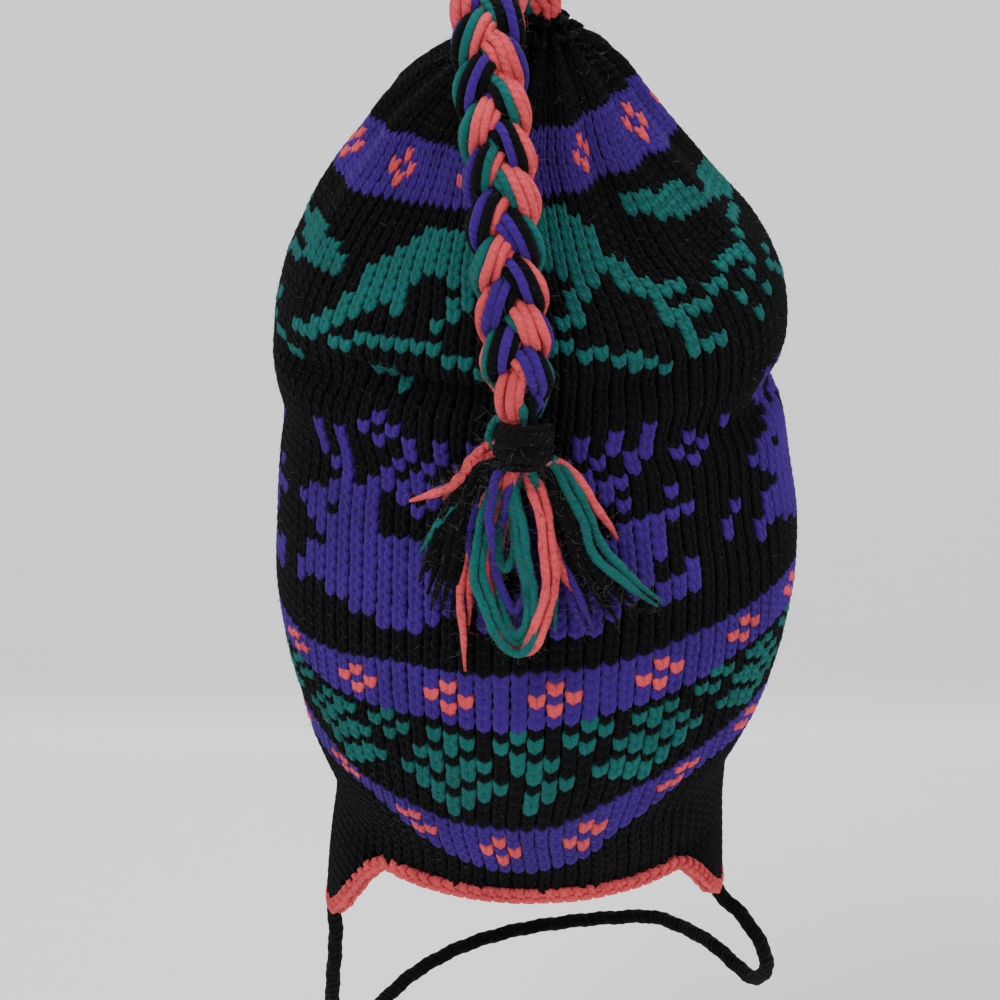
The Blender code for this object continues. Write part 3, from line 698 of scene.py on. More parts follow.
class KnitFace:
    """Points and outward directions of the hat's face by column and row."""

    def __init__(self):
        self.stations = [0.05 * i for i in range((len(SECTIONS) - 1) * 20 + 1)]
        self.reach = reaches([crown_point(0.0, s) for s in self.stations], 1000.0)
        self.top = self.reach[-1]
        self.wide = COLUMNS * FACE_ACROSS
        self.tall = (ROW_TOP - ROW_LOW) * FACE_UP + 1
        rows = [ROW_LOW + j / FACE_UP for j in range(self.tall)]
        self.marks = []
        self.points = []
        for i in range(self.wide):
            column = i / FACE_ACROSS
            angle = turn_between(column_angle(column), 0.0)
            marks = self.column_marks(column)
            self.marks.append(marks)
            self.points.append([self.spot(angle, between(marks, row)) for row in rows])
        self.normals = []
        for i in range(self.wide):
            near, here, far = self.points[i - 1], self.points[i], self.points[(i + 1) % self.wide]
            line = []
            for j in range(self.tall):
                low, high = max(j - 1, 0), min(j + 1, self.tall - 1)
                out = (far[j] - near[j]).cross(here[high] - here[low])
                line.append(out.normalized() if out.length > 0.0 else Vector((0.0, 0.0, 1.0)))
            self.normals.append(line)

    def column_marks(self, column):
        """Rows of a column with their heights in mm, below the rim less than nought."""
        heights = [(row, line_height(marks, column)) for row, marks in ROW_LINES]
        first, height = heights[0]
        low = height - (first - ROW_LOW) * ROW_PITCH
        return [(ROW_LOW, low), *heights, (ROW_TOP, self.top)]

    def marks_at(self, column):
        return self.marks[int(column * FACE_ACROSS) % self.wide]

    def row_at(self, column, height):
        return between([(h, row) for row, h in self.marks_at(column)], height)

    def height_at(self, column, row):
        return between(self.marks_at(column), row)

    def station(self, height):
        """Station of the crown at a height in mm up the nape."""
        k = min(max(bisect.bisect_left(self.reach, height), 1), len(self.reach) - 1)
        share = (height - self.reach[k - 1]) / (self.reach[k] - self.reach[k - 1])
        share = min(max(share, 0.0), 1.0)
        return self.stations[k - 1] + (self.stations[k] - self.stations[k - 1]) * share

    def spot(self, angle, height):
        if height < 0.0:
            return flap_point(angle, -height * 0.001, 0.0)
        return crown_point(angle, self.station(height))

    def at(self, column, row):
        """Point and outward direction at any column and row."""
        x = (column % COLUMNS) * FACE_ACROSS
        y = min(max((row - ROW_LOW) * FACE_UP, 0.0), self.tall - 1.001)
        i, j = int(x) % self.wide, int(y)
        k = (i + 1) % self.wide
        x -= int(x)
        y -= j
        found = []
        for grid in (self.points, self.normals):
            a, b = grid[i], grid[k]
            found.append(a[j].lerp(b[j], x).lerp(a[j + 1].lerp(b[j + 1], x), y))
        return found


def in_stretches(stretches, column):
    return any(first <= column <= last for first, last in stretches)


def flower(across, row, middle):
    """Whether a stitch is one of the four of a flower round its middle."""
    return abs(across) + abs(row - middle) == 1


def stitch_colour(column, row):
    """Yarn of a stitch, by its column from the seam and its row from the rim."""
    column = (column + HALF_ROUND) % COLUMNS - HALF_ROUND
    for first, start in FLOWER_BANDS:
        if first <= row <= first + 4:
            across = (column - start + 3) % 6 - 3
            return CORAL if flower(across, row, first + 2) else PURPLE
    if TOP_BAND <= row <= TOP_BAND + 4:
        near = min(abs(column - c) for c in TOP_FLOWERS)
        return CORAL if flower(near, row, TOP_BAND + 2) else PURPLE
    if 9 <= row <= 17:
        across = (column % COLUMNS - 7 + 4) % 8 - 4
        if across in TREE[row - 9] or across in TULIP.get(row, ()):
            return TEAL
        if row == 14 and column == -1:
            return TEAL
    if DEER_TOP - len(DEER) < row <= DEER_TOP:
        line = DEER[DEER_TOP - row]
        for start in DEER_STARTS:
            across = (column - start) % COLUMNS
            if across < len(line) and line[across] == "#":
                return PURPLE
        start, last = DEER_CUT
        if 0 <= column <= last and line[column - start] == "#" and (row < 42 or column > 2):
            return PURPLE
        if (column, row) in SPARE_FIGURES:
            return PURPLE
    if row in SKIERS and in_stretches(SKIERS[row], (column + 21) % HALF_ROUND - 21):
        return TEAL
    return BLACK


# ---- Yarn shapes ----


class YarnMesh:
    """Tubes of yarn gathered for one piece, each with its colour and its own length in UV."""

    def __init__(self):
        self.verts = []
        self.faces = []
        self.uvs = []
        self.slots = []

    def rings(self, rings, reach, slot, closed=False):
        """Skin rings of points in order along a yarn. Reach is each ring's length in mm."""
        sides = len(rings[0])
        base = len(self.verts)
        for ring in rings:
            self.verts.extend(ring)
        count = len(rings)
        for k in range(count if closed else count - 1):
            low = base + k * sides
            high = base + (k + 1) % count * sides
            r0 = reach[k]
            r1 = reach[k + 1] if k + 1 < len(reach) else reach[k] + reach[1] - reach[0]
            for i in range(sides):
                j = (i + 1) % sides
                self.faces.append((low + i, low + j, high + j, high + i))
                u0, u1 = i / sides, (i + 1) / sides
                self.uvs.extend((u0, r0, u1, r0, u1, r1, u0, r1))
                self.slots.append(slot)
        if not closed:
            last = base + (count - 1) * sides
            self.faces.append(tuple(base + i for i in reversed(range(sides))))
            self.faces.append(tuple(last + i for i in range(sides)))
            for end in (reach[0], reach[-1]):
                for i in range(sides):
                    self.uvs.extend((i / sides, end))
                self.slots.append(slot)

    def tube(self, points, radii, sides, slot, closed=False, facing=None):
        """A round yarn along points. Facing keeps its section from turning."""
        reach = reaches(points, 1000.0)
        if closed:
            reach.append(reach[-1] + (points[0] - points[-1]).length * 1000.0)
        rings = []
        side = None
        for k, (middle, radius) in enumerate(zip(points, radii)):
            along = heading(points, k, closed)
            if facing is not None:
                out = facing[k]
            elif side is None:
                out = Vector((0.31, -0.87, 0.38))
            else:
                out = along.cross(side)
            side = out.cross(along).normalized()
            out = along.cross(side)
            rings.append(circle(middle, side, out, radius, radius, sides))
        self.rings(rings, reach, slot, closed)

    def finish(self, name, node_slot, *nodes):
        """The piece: its mesh, materials, ride and the solids it stands for."""
        mesh = bpy.data.meshes.new(name)
        mesh.from_pydata([tuple(v) for v in self.verts], [], self.faces)
        layer = mesh.uv_layers.new(name="yarn")
        layer.data.foreach_set("uv", self.uvs)
        for yarn in yarn_materials():
            mesh.materials.append(yarn)
        mesh.polygons.foreach_set("material_index", self.slots)
        mesh.polygons.foreach_set("use_smooth", [True] * len(self.faces))
        mesh.update()
        piece = bpy.data.objects.new(name, mesh)
        bpy.context.scene.collection.objects.link(piece)
        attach(piece, "root")
        if nodes:
            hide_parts(*nodes)
        return piece


def knit_leg(store, face, column, row, side, slot, stitches, chance):
    """One leg of a stitch, from its foot at the column's middle up and out to its top."""
    pitch = (face.at(column + 0.5, row + 0.5)[0] - face.at(column - 0.5, row + 0.5)[0]).length
    tall = (face.at(column, row + 1.0)[0] - face.at(column, row)[0]).length
    width = min(stitches.leg_width * pitch, 0.0017) * chance.uniform(0.93, 1.07)
    thick = min(stitches.yarn_half, pitch * 0.34, tall * 0.42)
    if slot != BLACK:
        width *= COLOUR_WIDER
    jog = chance.uniform(-0.035, 0.035)
    drop = chance.uniform(-0.05, 0.05)
    middles = []
    outs = []
    for t, rise in zip(LEG_STEPS, LEG_RISE):
        across = side * (0.055 + 0.275 * t ** 0.8) + jog
        point, out = face.at(column + across, row - 0.30 + drop + 1.62 * t)
        lift = (rise * 0.001 + YARN_SWELL[slot]) * min(1.0, pitch / 0.005)
        middles.append(point - out * (stitches.sink - lift))
        outs.append(out)
    rings = []
    for k, (middle, out, grown) in enumerate(zip(middles, outs, LEG_ROUND)):
        along = heading(middles, k)
        across = out.cross(along).normalized()
        out = along.cross(across)
        rings.append(circle(
            middle, across, out, width * grown, thick * grown, LEG_SIDES, 0.25))
    store.rings(rings, reaches(middles, 1000.0), slot)


# ---- Materials ----


def new_material(name, roughness):
    """A material with its node tree and its shader."""
    material = bpy.data.materials.new(name)
    material.use_nodes = True
    shader = material.node_tree.nodes["Principled BSDF"]
    shader.inputs["Roughness"].default_value = roughness
    return material, material.node_tree, shader


def add_node(tree, kind, inputs, **settings):
    """A node with its settings, and inputs that are values or the sockets they come from."""
    node = tree.nodes.new("ShaderNode" + kind)
    for name, value in settings.items():
        setattr(node, name, value)
    for name, value in inputs.items():
        if isinstance(value, bpy.types.NodeSocket):
            tree.links.new(value, node.inputs[name])
        else:
            node.inputs[name].default_value = value
    return node


def add_maths(tree, operation, *values):
    return add_node(tree, "Math", dict(enumerate(values)), operation=operation).outputs[0]


def add_noise(tree, place, scale, detail=2.0, roughness=0.5):
    noise = {"Vector": place, "Scale": scale, "Detail": detail, "Roughness": roughness}
    return add_node(tree, "TexNoise", noise).outputs["Fac"]


def add_ramp(tree, value, *stops):
    """Colour by a value, from stops with a place and a colour each."""
    node = add_node(tree, "ValToRGB", {"Fac": value})
    elements = node.color_ramp.elements
    for k, (place, colour) in enumerate(stops):
        stop = elements[k] if k < 2 else elements.new(place)
        stop.position = place
        stop.color = (*colour, 1.0)
    return node.outputs["Color"]


def add_range(tree, value, low, high, start, end):
    limits = {"Value": value, "From Min": low, "From Max": high, "To Min": start, "To Max": end}
    return add_node(tree, "MapRange", limits).outputs["Result"]


def add_shading(tree, colour, level):
    """A colour made lighter or darker by a level."""
    mix = add_node(tree, "Mix", {}, data_type="RGBA", blend_type="MULTIPLY")
    mix.inputs["Factor"].default_value = 1.0
    tree.links.new(colour, mix.inputs["A"])
    tree.links.new(level, mix.inputs["B"])
    return mix.outputs["Result"]


def add_bump(tree, height, strength, distance, **inputs):
    inputs.update(Height=height, Strength=strength, Distance=distance)
    return add_node(tree, "Bump", inputs).outputs["Normal"]


def wool(name, colour, fleck_highlight, sheen):
    """Spun wool: plies that wind round the yarn, loose fibres with painted shade and highlight,
    and an uneven dye.
    """
    material, tree, shader = new_material(name, 0.92)
    shader.inputs["Specular IOR Level"].default_value = 0.12
    shader.inputs["Sheen Weight"].default_value = sheen
    shader.inputs["Sheen Roughness"].default_value = 0.45
    coord = add_node(tree, "TexCoord", {}).outputs

    split = add_node(tree, "SeparateXYZ", {0: coord["UV"]}).outputs
    around = add_maths(tree, "MULTIPLY", split["X"], math.tau * PLIES)
    wound = add_maths(tree, "MULTIPLY_ADD", split["Y"], PLY_TURN, around)
    plies = add_maths(tree, "SINE", wound)

    stretch = {"Vector": coord["UV"], "Scale": (7.0, 0.9, 1.0), "Rotation": (0.0, 0.0, 0.35)}
    along = add_node(tree, "Mapping", stretch).outputs["Vector"]
    fibres = add_noise(tree, along, 2.2, 4.0, 0.7)
    fuzz = add_noise(tree, coord["Object"], 1500.0)
    dye = add_noise(tree, coord["Object"], 55.0)

    # Colour follows the fibre relief: darker fibres in its low places, partly fibre tone and
    # partly painted shade, and light flecks on its crests that are painted highlight.
    dark = tuple(c * 0.55 for c in colour)
    fibre_shade_and_highlight = add_ramp(tree, fibres, (0.28, dark), (0.62, colour), (0.80, fleck_highlight))
    tone = add_range(tree, dye, 0.3, 0.7, 0.80, 1.12)
    tree.links.new(add_shading(tree, fibre_shade_and_highlight, tone), shader.inputs["Base Color"])

    raised = add_maths(tree, "MULTIPLY", plies, 0.30)
    height = add_maths(tree, "MULTIPLY_ADD", fibres, 0.9, raised)
    relief = add_bump(tree, height, 1.0, 0.0009)
    soft = add_bump(tree, fuzz, 0.35, 0.0005, Normal=relief)
    tree.links.new(soft, shader.inputs["Normal"])
    return material


def yarn_materials():
    """The wools and the pale loose fibres, whose pale colour is painted highlight, in the order
    of YARNS, made once.
    """
    colours = bpy.context.scene.chullo_yarns
    out = []
    for name in YARNS:
        material = bpy.data.materials.get(name + "_wool_yarn")
        if material is None:
            colour = tuple(getattr(colours, name))
            # Each wool's light flecks are painted highlight: its colour made lighter where the
            # fibres catch the light.
            if name == "black":
                fleck_highlight = tuple(c * colours.black_fleck_highlight for c in colour)
                sheen = colours.fuzz * 0.2
            else:
                fleck_highlight = tuple(min(1.0, c * 1.35 + 0.02) for c in colour)
                sheen = colours.fuzz * 0.8
            material = wool(name + "_wool_yarn", colour, fleck_highlight, sheen)
        out.append(material)
    return out


def paper_material():
    """Pale paper with painted shade that darkens it up the backdrop, and that shows only its lit
    side.
    """
    material, tree, shader = new_material("pale_paper", 0.95)
    coord = add_node(tree, "TexCoord", {}).outputs["Object"]
    grain = add_noise(tree, coord, 3.0)
    tone = add_ramp(tree, grain, (0.0, (0.94, 0.94, 0.93)), (1.0, (0.97, 0.97, 0.96)))
    # Painted shade: the paper darkens from the floor up the bend, so the backdrop is darker than
    # the floor.
    height = add_node(tree, "SeparateXYZ", {0: coord}).outputs["Z"]
    level = add_range(tree, height, -0.292, -0.270, 1.0, 0.86)
    tree.links.new(add_shading(tree, tone, level), shader.inputs["Base Color"])
    back = add_node(tree, "NewGeometry", {}).outputs["Backfacing"]
    clear = add_node(tree, "BsdfTransparent", {}).outputs["BSDF"]
    either = add_node(tree, "MixShader", {"Fac": back, 1: shader.outputs["BSDF"], 2: clear})
    tree.links.new(either.outputs["Shader"], tree.nodes["Material Output"].inputs["Surface"])
    return material


# ---- Sizes and colours that a user would change ----


class ChulloYarns(bpy.types.PropertyGroup):
    """Colours of the wools."""

    black: bpy.props.FloatVectorProperty(
        name="Black", description="Ground wool", subtype="COLOR", size=3,
        default=(0.0022, 0.0023, 0.0032))
    purple: bpy.props.FloatVectorProperty(
        name="Purple", description="Wool of the bands and deer", subtype="COLOR", size=3,
        default=(0.056, 0.005, 0.275))
    teal: bpy.props.FloatVectorProperty(
        name="Teal", description="Wool of the trees and skiers", subtype="COLOR", size=3,
        default=(0.000, 0.160, 0.145))
    coral: bpy.props.FloatVectorProperty(
        name="Coral", description="Wool of the flowers and edge", subtype="COLOR", size=3,
        default=(1.00, 0.105, 0.125))
    # Painted highlight: loose fibres are given this pale colour for the light they catch.
    pale: bpy.props.FloatVectorProperty(
        name="Pale fibres", description="Loose fibres that catch the light", subtype="COLOR",
        size=3, default=(0.30, 0.28, 0.29))
    # Painted highlight: how much lighter the black wool's flecks are painted, where its fibres
    # catch the light.
    black_fleck_highlight: bpy.props.FloatProperty(
        name="Black fleck", description="How much lighter single fibres of the black are",
        default=3.2, min=1.0)
    fuzz: bpy.props.FloatProperty(
        name="Fuzz", description="Sheen of the loose fibres", default=0.10, min=0.0, max=1.0)


class ChulloStitches(bpy.types.PropertyGroup):
    """Sizes of the stitches and of the cloth behind them."""

    leg_width: bpy.props.FloatProperty(
        name="Leg width", description="Half width of a stitch's leg as a share of a column",
        default=0.225, min=0.05, max=0.4)
    yarn_half: bpy.props.FloatProperty(
        name="Yarn half thickness", description="Half thickness of the yarn, out from the cloth",
        subtype="DISTANCE", unit="LENGTH", default=0.00115)
    sink: bpy.props.FloatProperty(
        name="Sink", description="Depth of a leg's middle below the hat's face",
        subtype="DISTANCE", unit="LENGTH", default=0.0010)
    lining_depth: bpy.props.FloatProperty(
        name="Lining depth", description="Depth of the cloth behind the stitches",
        subtype="DISTANCE", unit="LENGTH", default=0.0019)


class ChulloStrands(bpy.types.PropertyGroup):
    """Sizes of the edge, tie, braid and tassel."""

    braid_yarn: bpy.props.FloatProperty(
        name="Braid yarn", description="Radius of one yarn of the braid",
        subtype="DISTANCE", unit="LENGTH", default=0.00152)
    tassel_yarn: bpy.props.FloatProperty(
        name="Tassel yarn", description="Radius of one yarn of the tassel",
        subtype="DISTANCE", unit="LENGTH", default=0.00145)
    edge_pitch: bpy.props.FloatProperty(
        name="Edge stitch", description="Length of one stitch of the crochet edge",
        subtype="DISTANCE", unit="LENGTH", default=0.0044)


_face = []


def knit_face():
    if not _face:
        _face.append(KnitFace())
    return _face[0]


def knit_rows(name, first, last):
    """A band of the crown: all its stitches from one row to another."""
    face = knit_face()
    stitches = bpy.context.scene.chullo_stitches
    chance = random.Random(first * 31 + 5)
    store = YarnMesh()
    for row in range(first, last + 1):
        for column in range(COLUMNS):
            middle = column + 0.5
            if face.height_at(middle, row + 0.25) < -0.8:
                continue
            yarn = stitch_colour(column, row)
            for side in (-1.0, 1.0):
                knit_leg(store, face, middle, row, side, yarn, stitches, chance)
    if last >= ROW_TOP - 1:
        add_gather(store, chance)
    store.finish(name, "crown_wool", "knit_crown")


def add_gather(store, chance):
    """Bunched cloth round the foot of the braid, where the last row is drawn together."""
    last = len(SECTIONS) - 1.0
    for level, lumps, radius in ((last - 0.4, 9, 0.0017), (last - 1.3, 13, 0.0012)):
        for k in range(lumps):
            angle = 360.0 * (k + chance.uniform(-0.15, 0.15)) / lumps
            middle = crown_point(angle, level)
            middle -= crown_normal(angle, level) * 0.0014
            ahead = crown_point(angle + 150.0 / lumps, level)
            behind = crown_point(angle - 150.0 / lumps, level)
            up = Vector((0.0, 0.0, 0.0012 * chance.uniform(-0.5, 1.0)))
            size = radius * chance.uniform(0.85, 1.15)
            points = [behind, behind.lerp(middle, 0.5) + up, middle + up * 1.6,
                      ahead.lerp(middle, 0.5) + up, ahead]
            store.tube(points, [size * f for f in (0.45, 0.85, 1.0, 0.85, 0.45)], 8, BLACK)
    centre = sum((crown_point(a * 30.0, last) for a in range(12)), Vector()) / 12.0
    points = [centre + Vector((0.0, 0.0, dz)) for dz in (-0.004, -0.001, 0.0012, 0.0024)]
    store.tube(points, [0.0045, 0.0062, 0.0050, 0.0026], 12, BLACK)


def turned_to_aim(place):
    return (AIM - Vector(place)).to_track_quat("-Z", "Y").to_euler()


class CHULLO_OT_make_stage(bpy.types.Operator):
    """Pale floor and backdrop, soft studio light and the camera"""

    bl_idname = "chullo.make_stage"
    bl_label = "Make the stage"

    def execute(self, context):
        scene = context.scene
        profile = [(-2.6, FLOOR), (BACKDROP - BEND, FLOOR)]
        for k in range(1, 9):
            turn = math.radians(90.0 * k / 8)
            profile.append((
                BACKDROP - BEND + BEND * math.sin(turn), FLOOR + BEND - BEND * math.cos(turn)))
        profile.append((BACKDROP, 2.6))
        verts = [(x, y, z) for y, z in profile for x in (-3.0, 3.0)]
        faces = [(k, k + 1, k + 3, k + 2) for k in range(0, len(verts) - 2, 2)]
        mesh = bpy.data.meshes.new("studio_sweep")
        mesh.from_pydata(verts, [], faces)
        mesh.polygons.foreach_set("use_smooth", [True] * len(faces))
        sweep = bpy.data.objects.new("studio_sweep", mesh)
        scene.collection.objects.link(sweep)
        mesh.materials.append(paper_material())
        world = scene.world or bpy.data.worlds.new("studio")
        scene.world = world
        world.use_nodes = True
        sky = world.node_tree.nodes["Background"]
        sky.inputs["Color"].default_value = (0.93, 0.95, 1.0, 1.0)
        sky.inputs["Strength"].default_value = 0.45
        for name, place, size, power in LIGHTS:
            lamp = bpy.data.lights.new(name, "AREA")
            lamp.size = size
            lamp.energy = power
            holder = bpy.data.objects.new(name, lamp)
            holder.location = place
            holder.rotation_euler = turned_to_aim(place)
            scene.collection.objects.link(holder)
        lens = bpy.data.cameras.new("camera")
        lens.lens = 103.8
        lens.sensor_width = 36.0
        lens.clip_start = 0.05
        camera = bpy.data.objects.new("camera", lens)
        camera.location = (-0.0102, -0.9256, 0.1747)
        camera.rotation_euler = turned_to_aim(camera.location)
        scene.collection.objects.link(camera)
        scene.camera = camera
        return {"FINISHED"}


class CHULLO_OT_make_chin_tie(bpy.types.Operator):
    """One chained cord that hangs from tip to tip of the ear flaps"""

    bl_idname = "chullo.make_chin_tie"
    bl_label = "Make the chin tie"

    def execute(self, context):
        line = catmull([from_shares(row) for row in TIE_ROUTE], 24)
        length = line_length(line)
        line = even_points(line, int(length / 0.0011))
        store = YarnMesh()
        sides = 14
        reach = []
        rings = []
        side = Vector((1.0, 0.0, 0.0))
        radius = TIE_DIAMETER / 2.0
        for k, middle in enumerate(line):
            along = heading(line, k)
            out = along.cross(side).normalized()
            side = out.cross(along).normalized()
            far = length * k / (len(line) - 1)
            ring = []
            for i in range(sides):
                turn = math.tau * i / sides
                lobe = math.cos(3.0 * turn - math.tau * far / 0.0115)
                notch = math.cos(math.tau * far / 0.0038 + 1.2 * math.sin(turn))
                size = radius * (0.93 + 0.07 * lobe + 0.05 * notch)
                ring.append(middle + side * size * math.cos(turn) - out * size * math.sin(turn))
            rings.append(ring)
            reach.append(far * 1000.0)
        store.rings(rings, reach, BLACK)
        piece = store.finish("chin_tie_cord", "tie_wool", "chin_tie")
        return {"FINISHED"}


class CHULLO_OT_make_lining(bpy.types.Operator):
    """Cloth behind the stitches of the crown, with the purl side inside and a black outer face,
    partly the black yarn behind the stitches and partly painted shade in the gaps between them
    """

    bl_idname = "chullo.make_lining"
    bl_label = "Make the lining"

    def execute(self, context):
        face = knit_face()
        store = YarnMesh()
        outer = self.cloth(face, context.scene.chullo_stitches.lining_depth, len(SECTIONS))
        inner = self.cloth(face, CROWN_WALL, len(SECTIONS) - 4.4)
        order = [*reversed(inner), *outer]
        for ring in order:
            store.verts.extend(ring)
        for k in range(len(order) - 1):
            low, high = k * COLUMNS, (k + 1) * COLUMNS
            v0, v1 = k * 3.6, (k + 1) * 3.6
            for i in range(COLUMNS):
                j = (i + 1) % COLUMNS
                store.faces.append((low + i, low + j, high + j, high + i))
                store.uvs.extend((i, v0, i + 1, v0, i + 1, v1, i, v1))
                inside = len(inner) - 2 - k
                # Faces behind the stitches and across the rim are black wool: partly the black
                # yarn that runs there, partly painted shade seen in the gaps between the
                # stitches.
                store.slots.append(self.purl_yarn(face, i, inside) if inside >= 0 else BLACK)
        for ring, flip in ((0, True), (len(order) - 1, False)):
            top = len(store.verts)
            store.verts.append(sum(order[ring], Vector()) / COLUMNS)
            for i in range(COLUMNS):
                a, b = ring * COLUMNS + i, ring * COLUMNS + (i + 1) % COLUMNS
                store.faces.append((b, a, top) if flip else (a, b, top))
                store.uvs.extend((i, 0.0, i + 1, 0.0, i + 0.5, 1.0))
                store.slots.append(BLACK)
        store.finish("knit_crown_lining", "crown_wool", "knit_crown")
        return {"FINISHED"}

    def cloth(self, face, depth, highest):
        """Rings of one side of the cloth from the rim up to a station."""
        rings = []
        for k in range(LINING_LEVELS + 1):
            station = min(face.station(face.top * k / LINING_LEVELS), highest)
            ring = []
            for i in range(COLUMNS):
                angle = column_angle(float(i))
                point = crown_point(angle, station)
                out = rim_outward(angle) if station < 0.2 else crown_normal(angle, station)
                if k == 0:
                    point.z -= 0.0022
                ring.append(point - out * depth)
            rings.append(ring)
            if station >= highest:
                break
        return rings

    def purl_yarn(self, face, column, level):
        """Yarn that runs behind a stitch: another one of those used close by, if any."""
        row = int(face.row_at(column + 0.5, face.top * (level + 0.5) / LINING_LEVELS))
        near = {stitch_colour(column + n, row) for n in range(-6, 7)}
        yarn = stitch_colour(column, row)
        return min(near - {yarn}, default=yarn)


class CHULLO_OT_make_crown(bpy.types.Operator):
    """Every stitch of the crown, in four bands from the rim to the gather"""

    bl_idname = "chullo.make_crown"
    bl_label = "Make the crown's knitting"

    def execute(self, context):
        for name, first, last in (
            ("crown_trees_band", ROW_LOW, 22),
            ("crown_deer_band", 23, 45),
            ("crown_skiers_band", 46, 63),
            ("crown_gathered_top", 64, ROW_TOP - 1),
        ):
            knit_rows(name, first, last)
        return {"FINISHED"}


class CHULLO_OT_make_flaps(bpy.types.Operator):
    """The two ear flaps, knitted on from the crown's lowest rows"""

    bl_idname = "chullo.make_flaps"
    bl_label = "Make the ear flaps"

    def execute(self, context):
        face = knit_face()
        stitches = context.scene.chullo_stitches
        for name, side in (("ear_flap_left", -1.0), ("ear_flap_right", 1.0)):
            chance = random.Random(17)
            store = YarnMesh()
            for row in range(ROW_LOW, 12):
                for column in range(COLUMNS):
                    middle = column + 0.5
                    angle = turn_between(column_angle(middle), 0.0)
                    height = face.height_at(middle, row + 0.25)
                    if angle * side < 0.0 or height >= 0.0:
                        continue
                    if -height * 0.001 > flap_drop(angle) + 0.0012:
                        continue
                    for leg in (-1.0, 1.0):
                        knit_leg(store, face, middle, row, leg, BLACK, stitches, chance)
            self.add_cloth(store, side, stitches.lining_depth)
            store.finish(name + "_knit", "flap_wool", name)
        return {"FINISHED"}

    def add_cloth(self, store, side, depth):
        """Closed cloth behind the flap's stitches."""
        edge = [FLAP_OUTLINE[0][0] + 0.5 * i for i in range(180)]
        tall = [a for a in edge if flap_drop(side * a) >= LEAST_FLAP]
        first, final = side * tall[0], side * tall[-1]
        wide, high = 28, 12
        base = len(store.verts)
        for inset in (depth, FLAP_WALL):
            for k in range(high + 1):
                for i in range(wide + 1):
                    angle = first + (final - first) * i / wide
                    down = (flap_drop(angle) + 0.0020) * k / high
                    store.verts.append(flap_point(angle, down, inset))
        line = wide + 1
        layer = line * (high + 1)
        faces = []
        for k in range(high):
            for i in range(wide):
                a = k * line + i
                faces.append((a, a + line, a + line + 1, a + 1))
                b = layer + a
                faces.append((b, b + 1, b + line + 1, b + line))
        for i in range(wide):
            faces.append((i, i + 1, layer + i + 1, layer + i))
            low = high * line + i
            faces.append((low + 1, low, layer + low, layer + low + 1))
        for k in range(high):
            near = k * line
            far = near + wide
            faces.append((near + line, near, layer + near, layer + near + line))
            faces.append((far, far + line, layer + far + line, layer + far))
        for corners in faces:
            if side < 0.0:
                corners = tuple(reversed(corners))
            store.faces.append(tuple(base + c for c in corners))
            for c in corners:
                c %= layer
                store.uvs.extend((c % line * 0.8, c // line * 2.6))
            store.slots.append(BLACK)


class CHULLO_OT_make_edge(bpy.types.Operator):
    """Crochet edge round the rim and the flaps, a post and a chain for each stitch"""

    bl_idname = "chullo.make_edge"
    bl_label = "Make the crochet edge"

    def execute(self, context):
        strands = context.scene.chullo_strands
        chance = random.Random(23)
        store = YarnMesh()
        line = edge_line()
        total = line_length(line + line[:1])
        count = int(total / strands.edge_pitch)
        dense = even_points(line, count * 4, closed=True)
        waves = [0.5 + 0.5 * math.cos(math.tau * k / 4.0) for k in range(len(dense))]
        radii = [EDGE_RADIUS * (0.76 + 0.08 * wave) for wave in waves]
        store.tube(dense, radii, 8, CORAL, closed=True, facing=[Vector((0, 0, 1))] * len(dense))
        for i in range(0, len(dense), 4):
            here = dense[i]
            along = heading(dense, i, closed=True)
            out = Vector((here.x / HALF_WIDE ** 2, here.y / HALF_DEEP ** 2, 0.0)).normalized()
            down = along.cross(out).normalized()
            if down.z > 0.0:
                down.negate()
            out = down.cross(along).normalized()
            if out.dot(Vector((here.x, here.y, 0.0))) < 0.0:
                out.negate()
            swell = chance.uniform(0.90, 1.12)
            reach = 0.0005 * chance.uniform(0.4, 1.8)
            axes = (along, down, out)
            for lean, face in EDGE_POSTS:
                self.add_yarn(store, here, axes, (
                    (-lean, -0.0012 - reach, 0.0012 * face),
                    (-lean * 0.5, -0.0013, 0.0020 * face),
                    (lean * 0.6, 0.0003, 0.0021 * face),
                    (lean * 1.4, 0.0013, 0.0011 * face),
                ), EDGE_POST * swell, (0.6, 1.0, 1.0, 0.7), out * face)
            for face in (1.0, -1.0):
                places = [(a, b, c * face) for a, b, c in EDGE_CHAINS]
                self.add_yarn(
                    store, here, axes, places, EDGE_CHAIN * swell, (0.5, 1.0, 1.0, 0.5), down)
        store.finish("crochet_edge_stitches", "edge_wool", "crochet_edge")
        return {"FINISHED"}

    def add_yarn(self, store, here, axes, places, radius, shape, facing):
        """A short yarn of a stitch, through places along the edge, down and out from here."""
        along, down, out = axes
        points = [here + along * a + down * b + out * c for a, b, c in places]
        store.tube(points, [radius * f for f in shape], 6, CORAL, facing=[facing] * len(points))


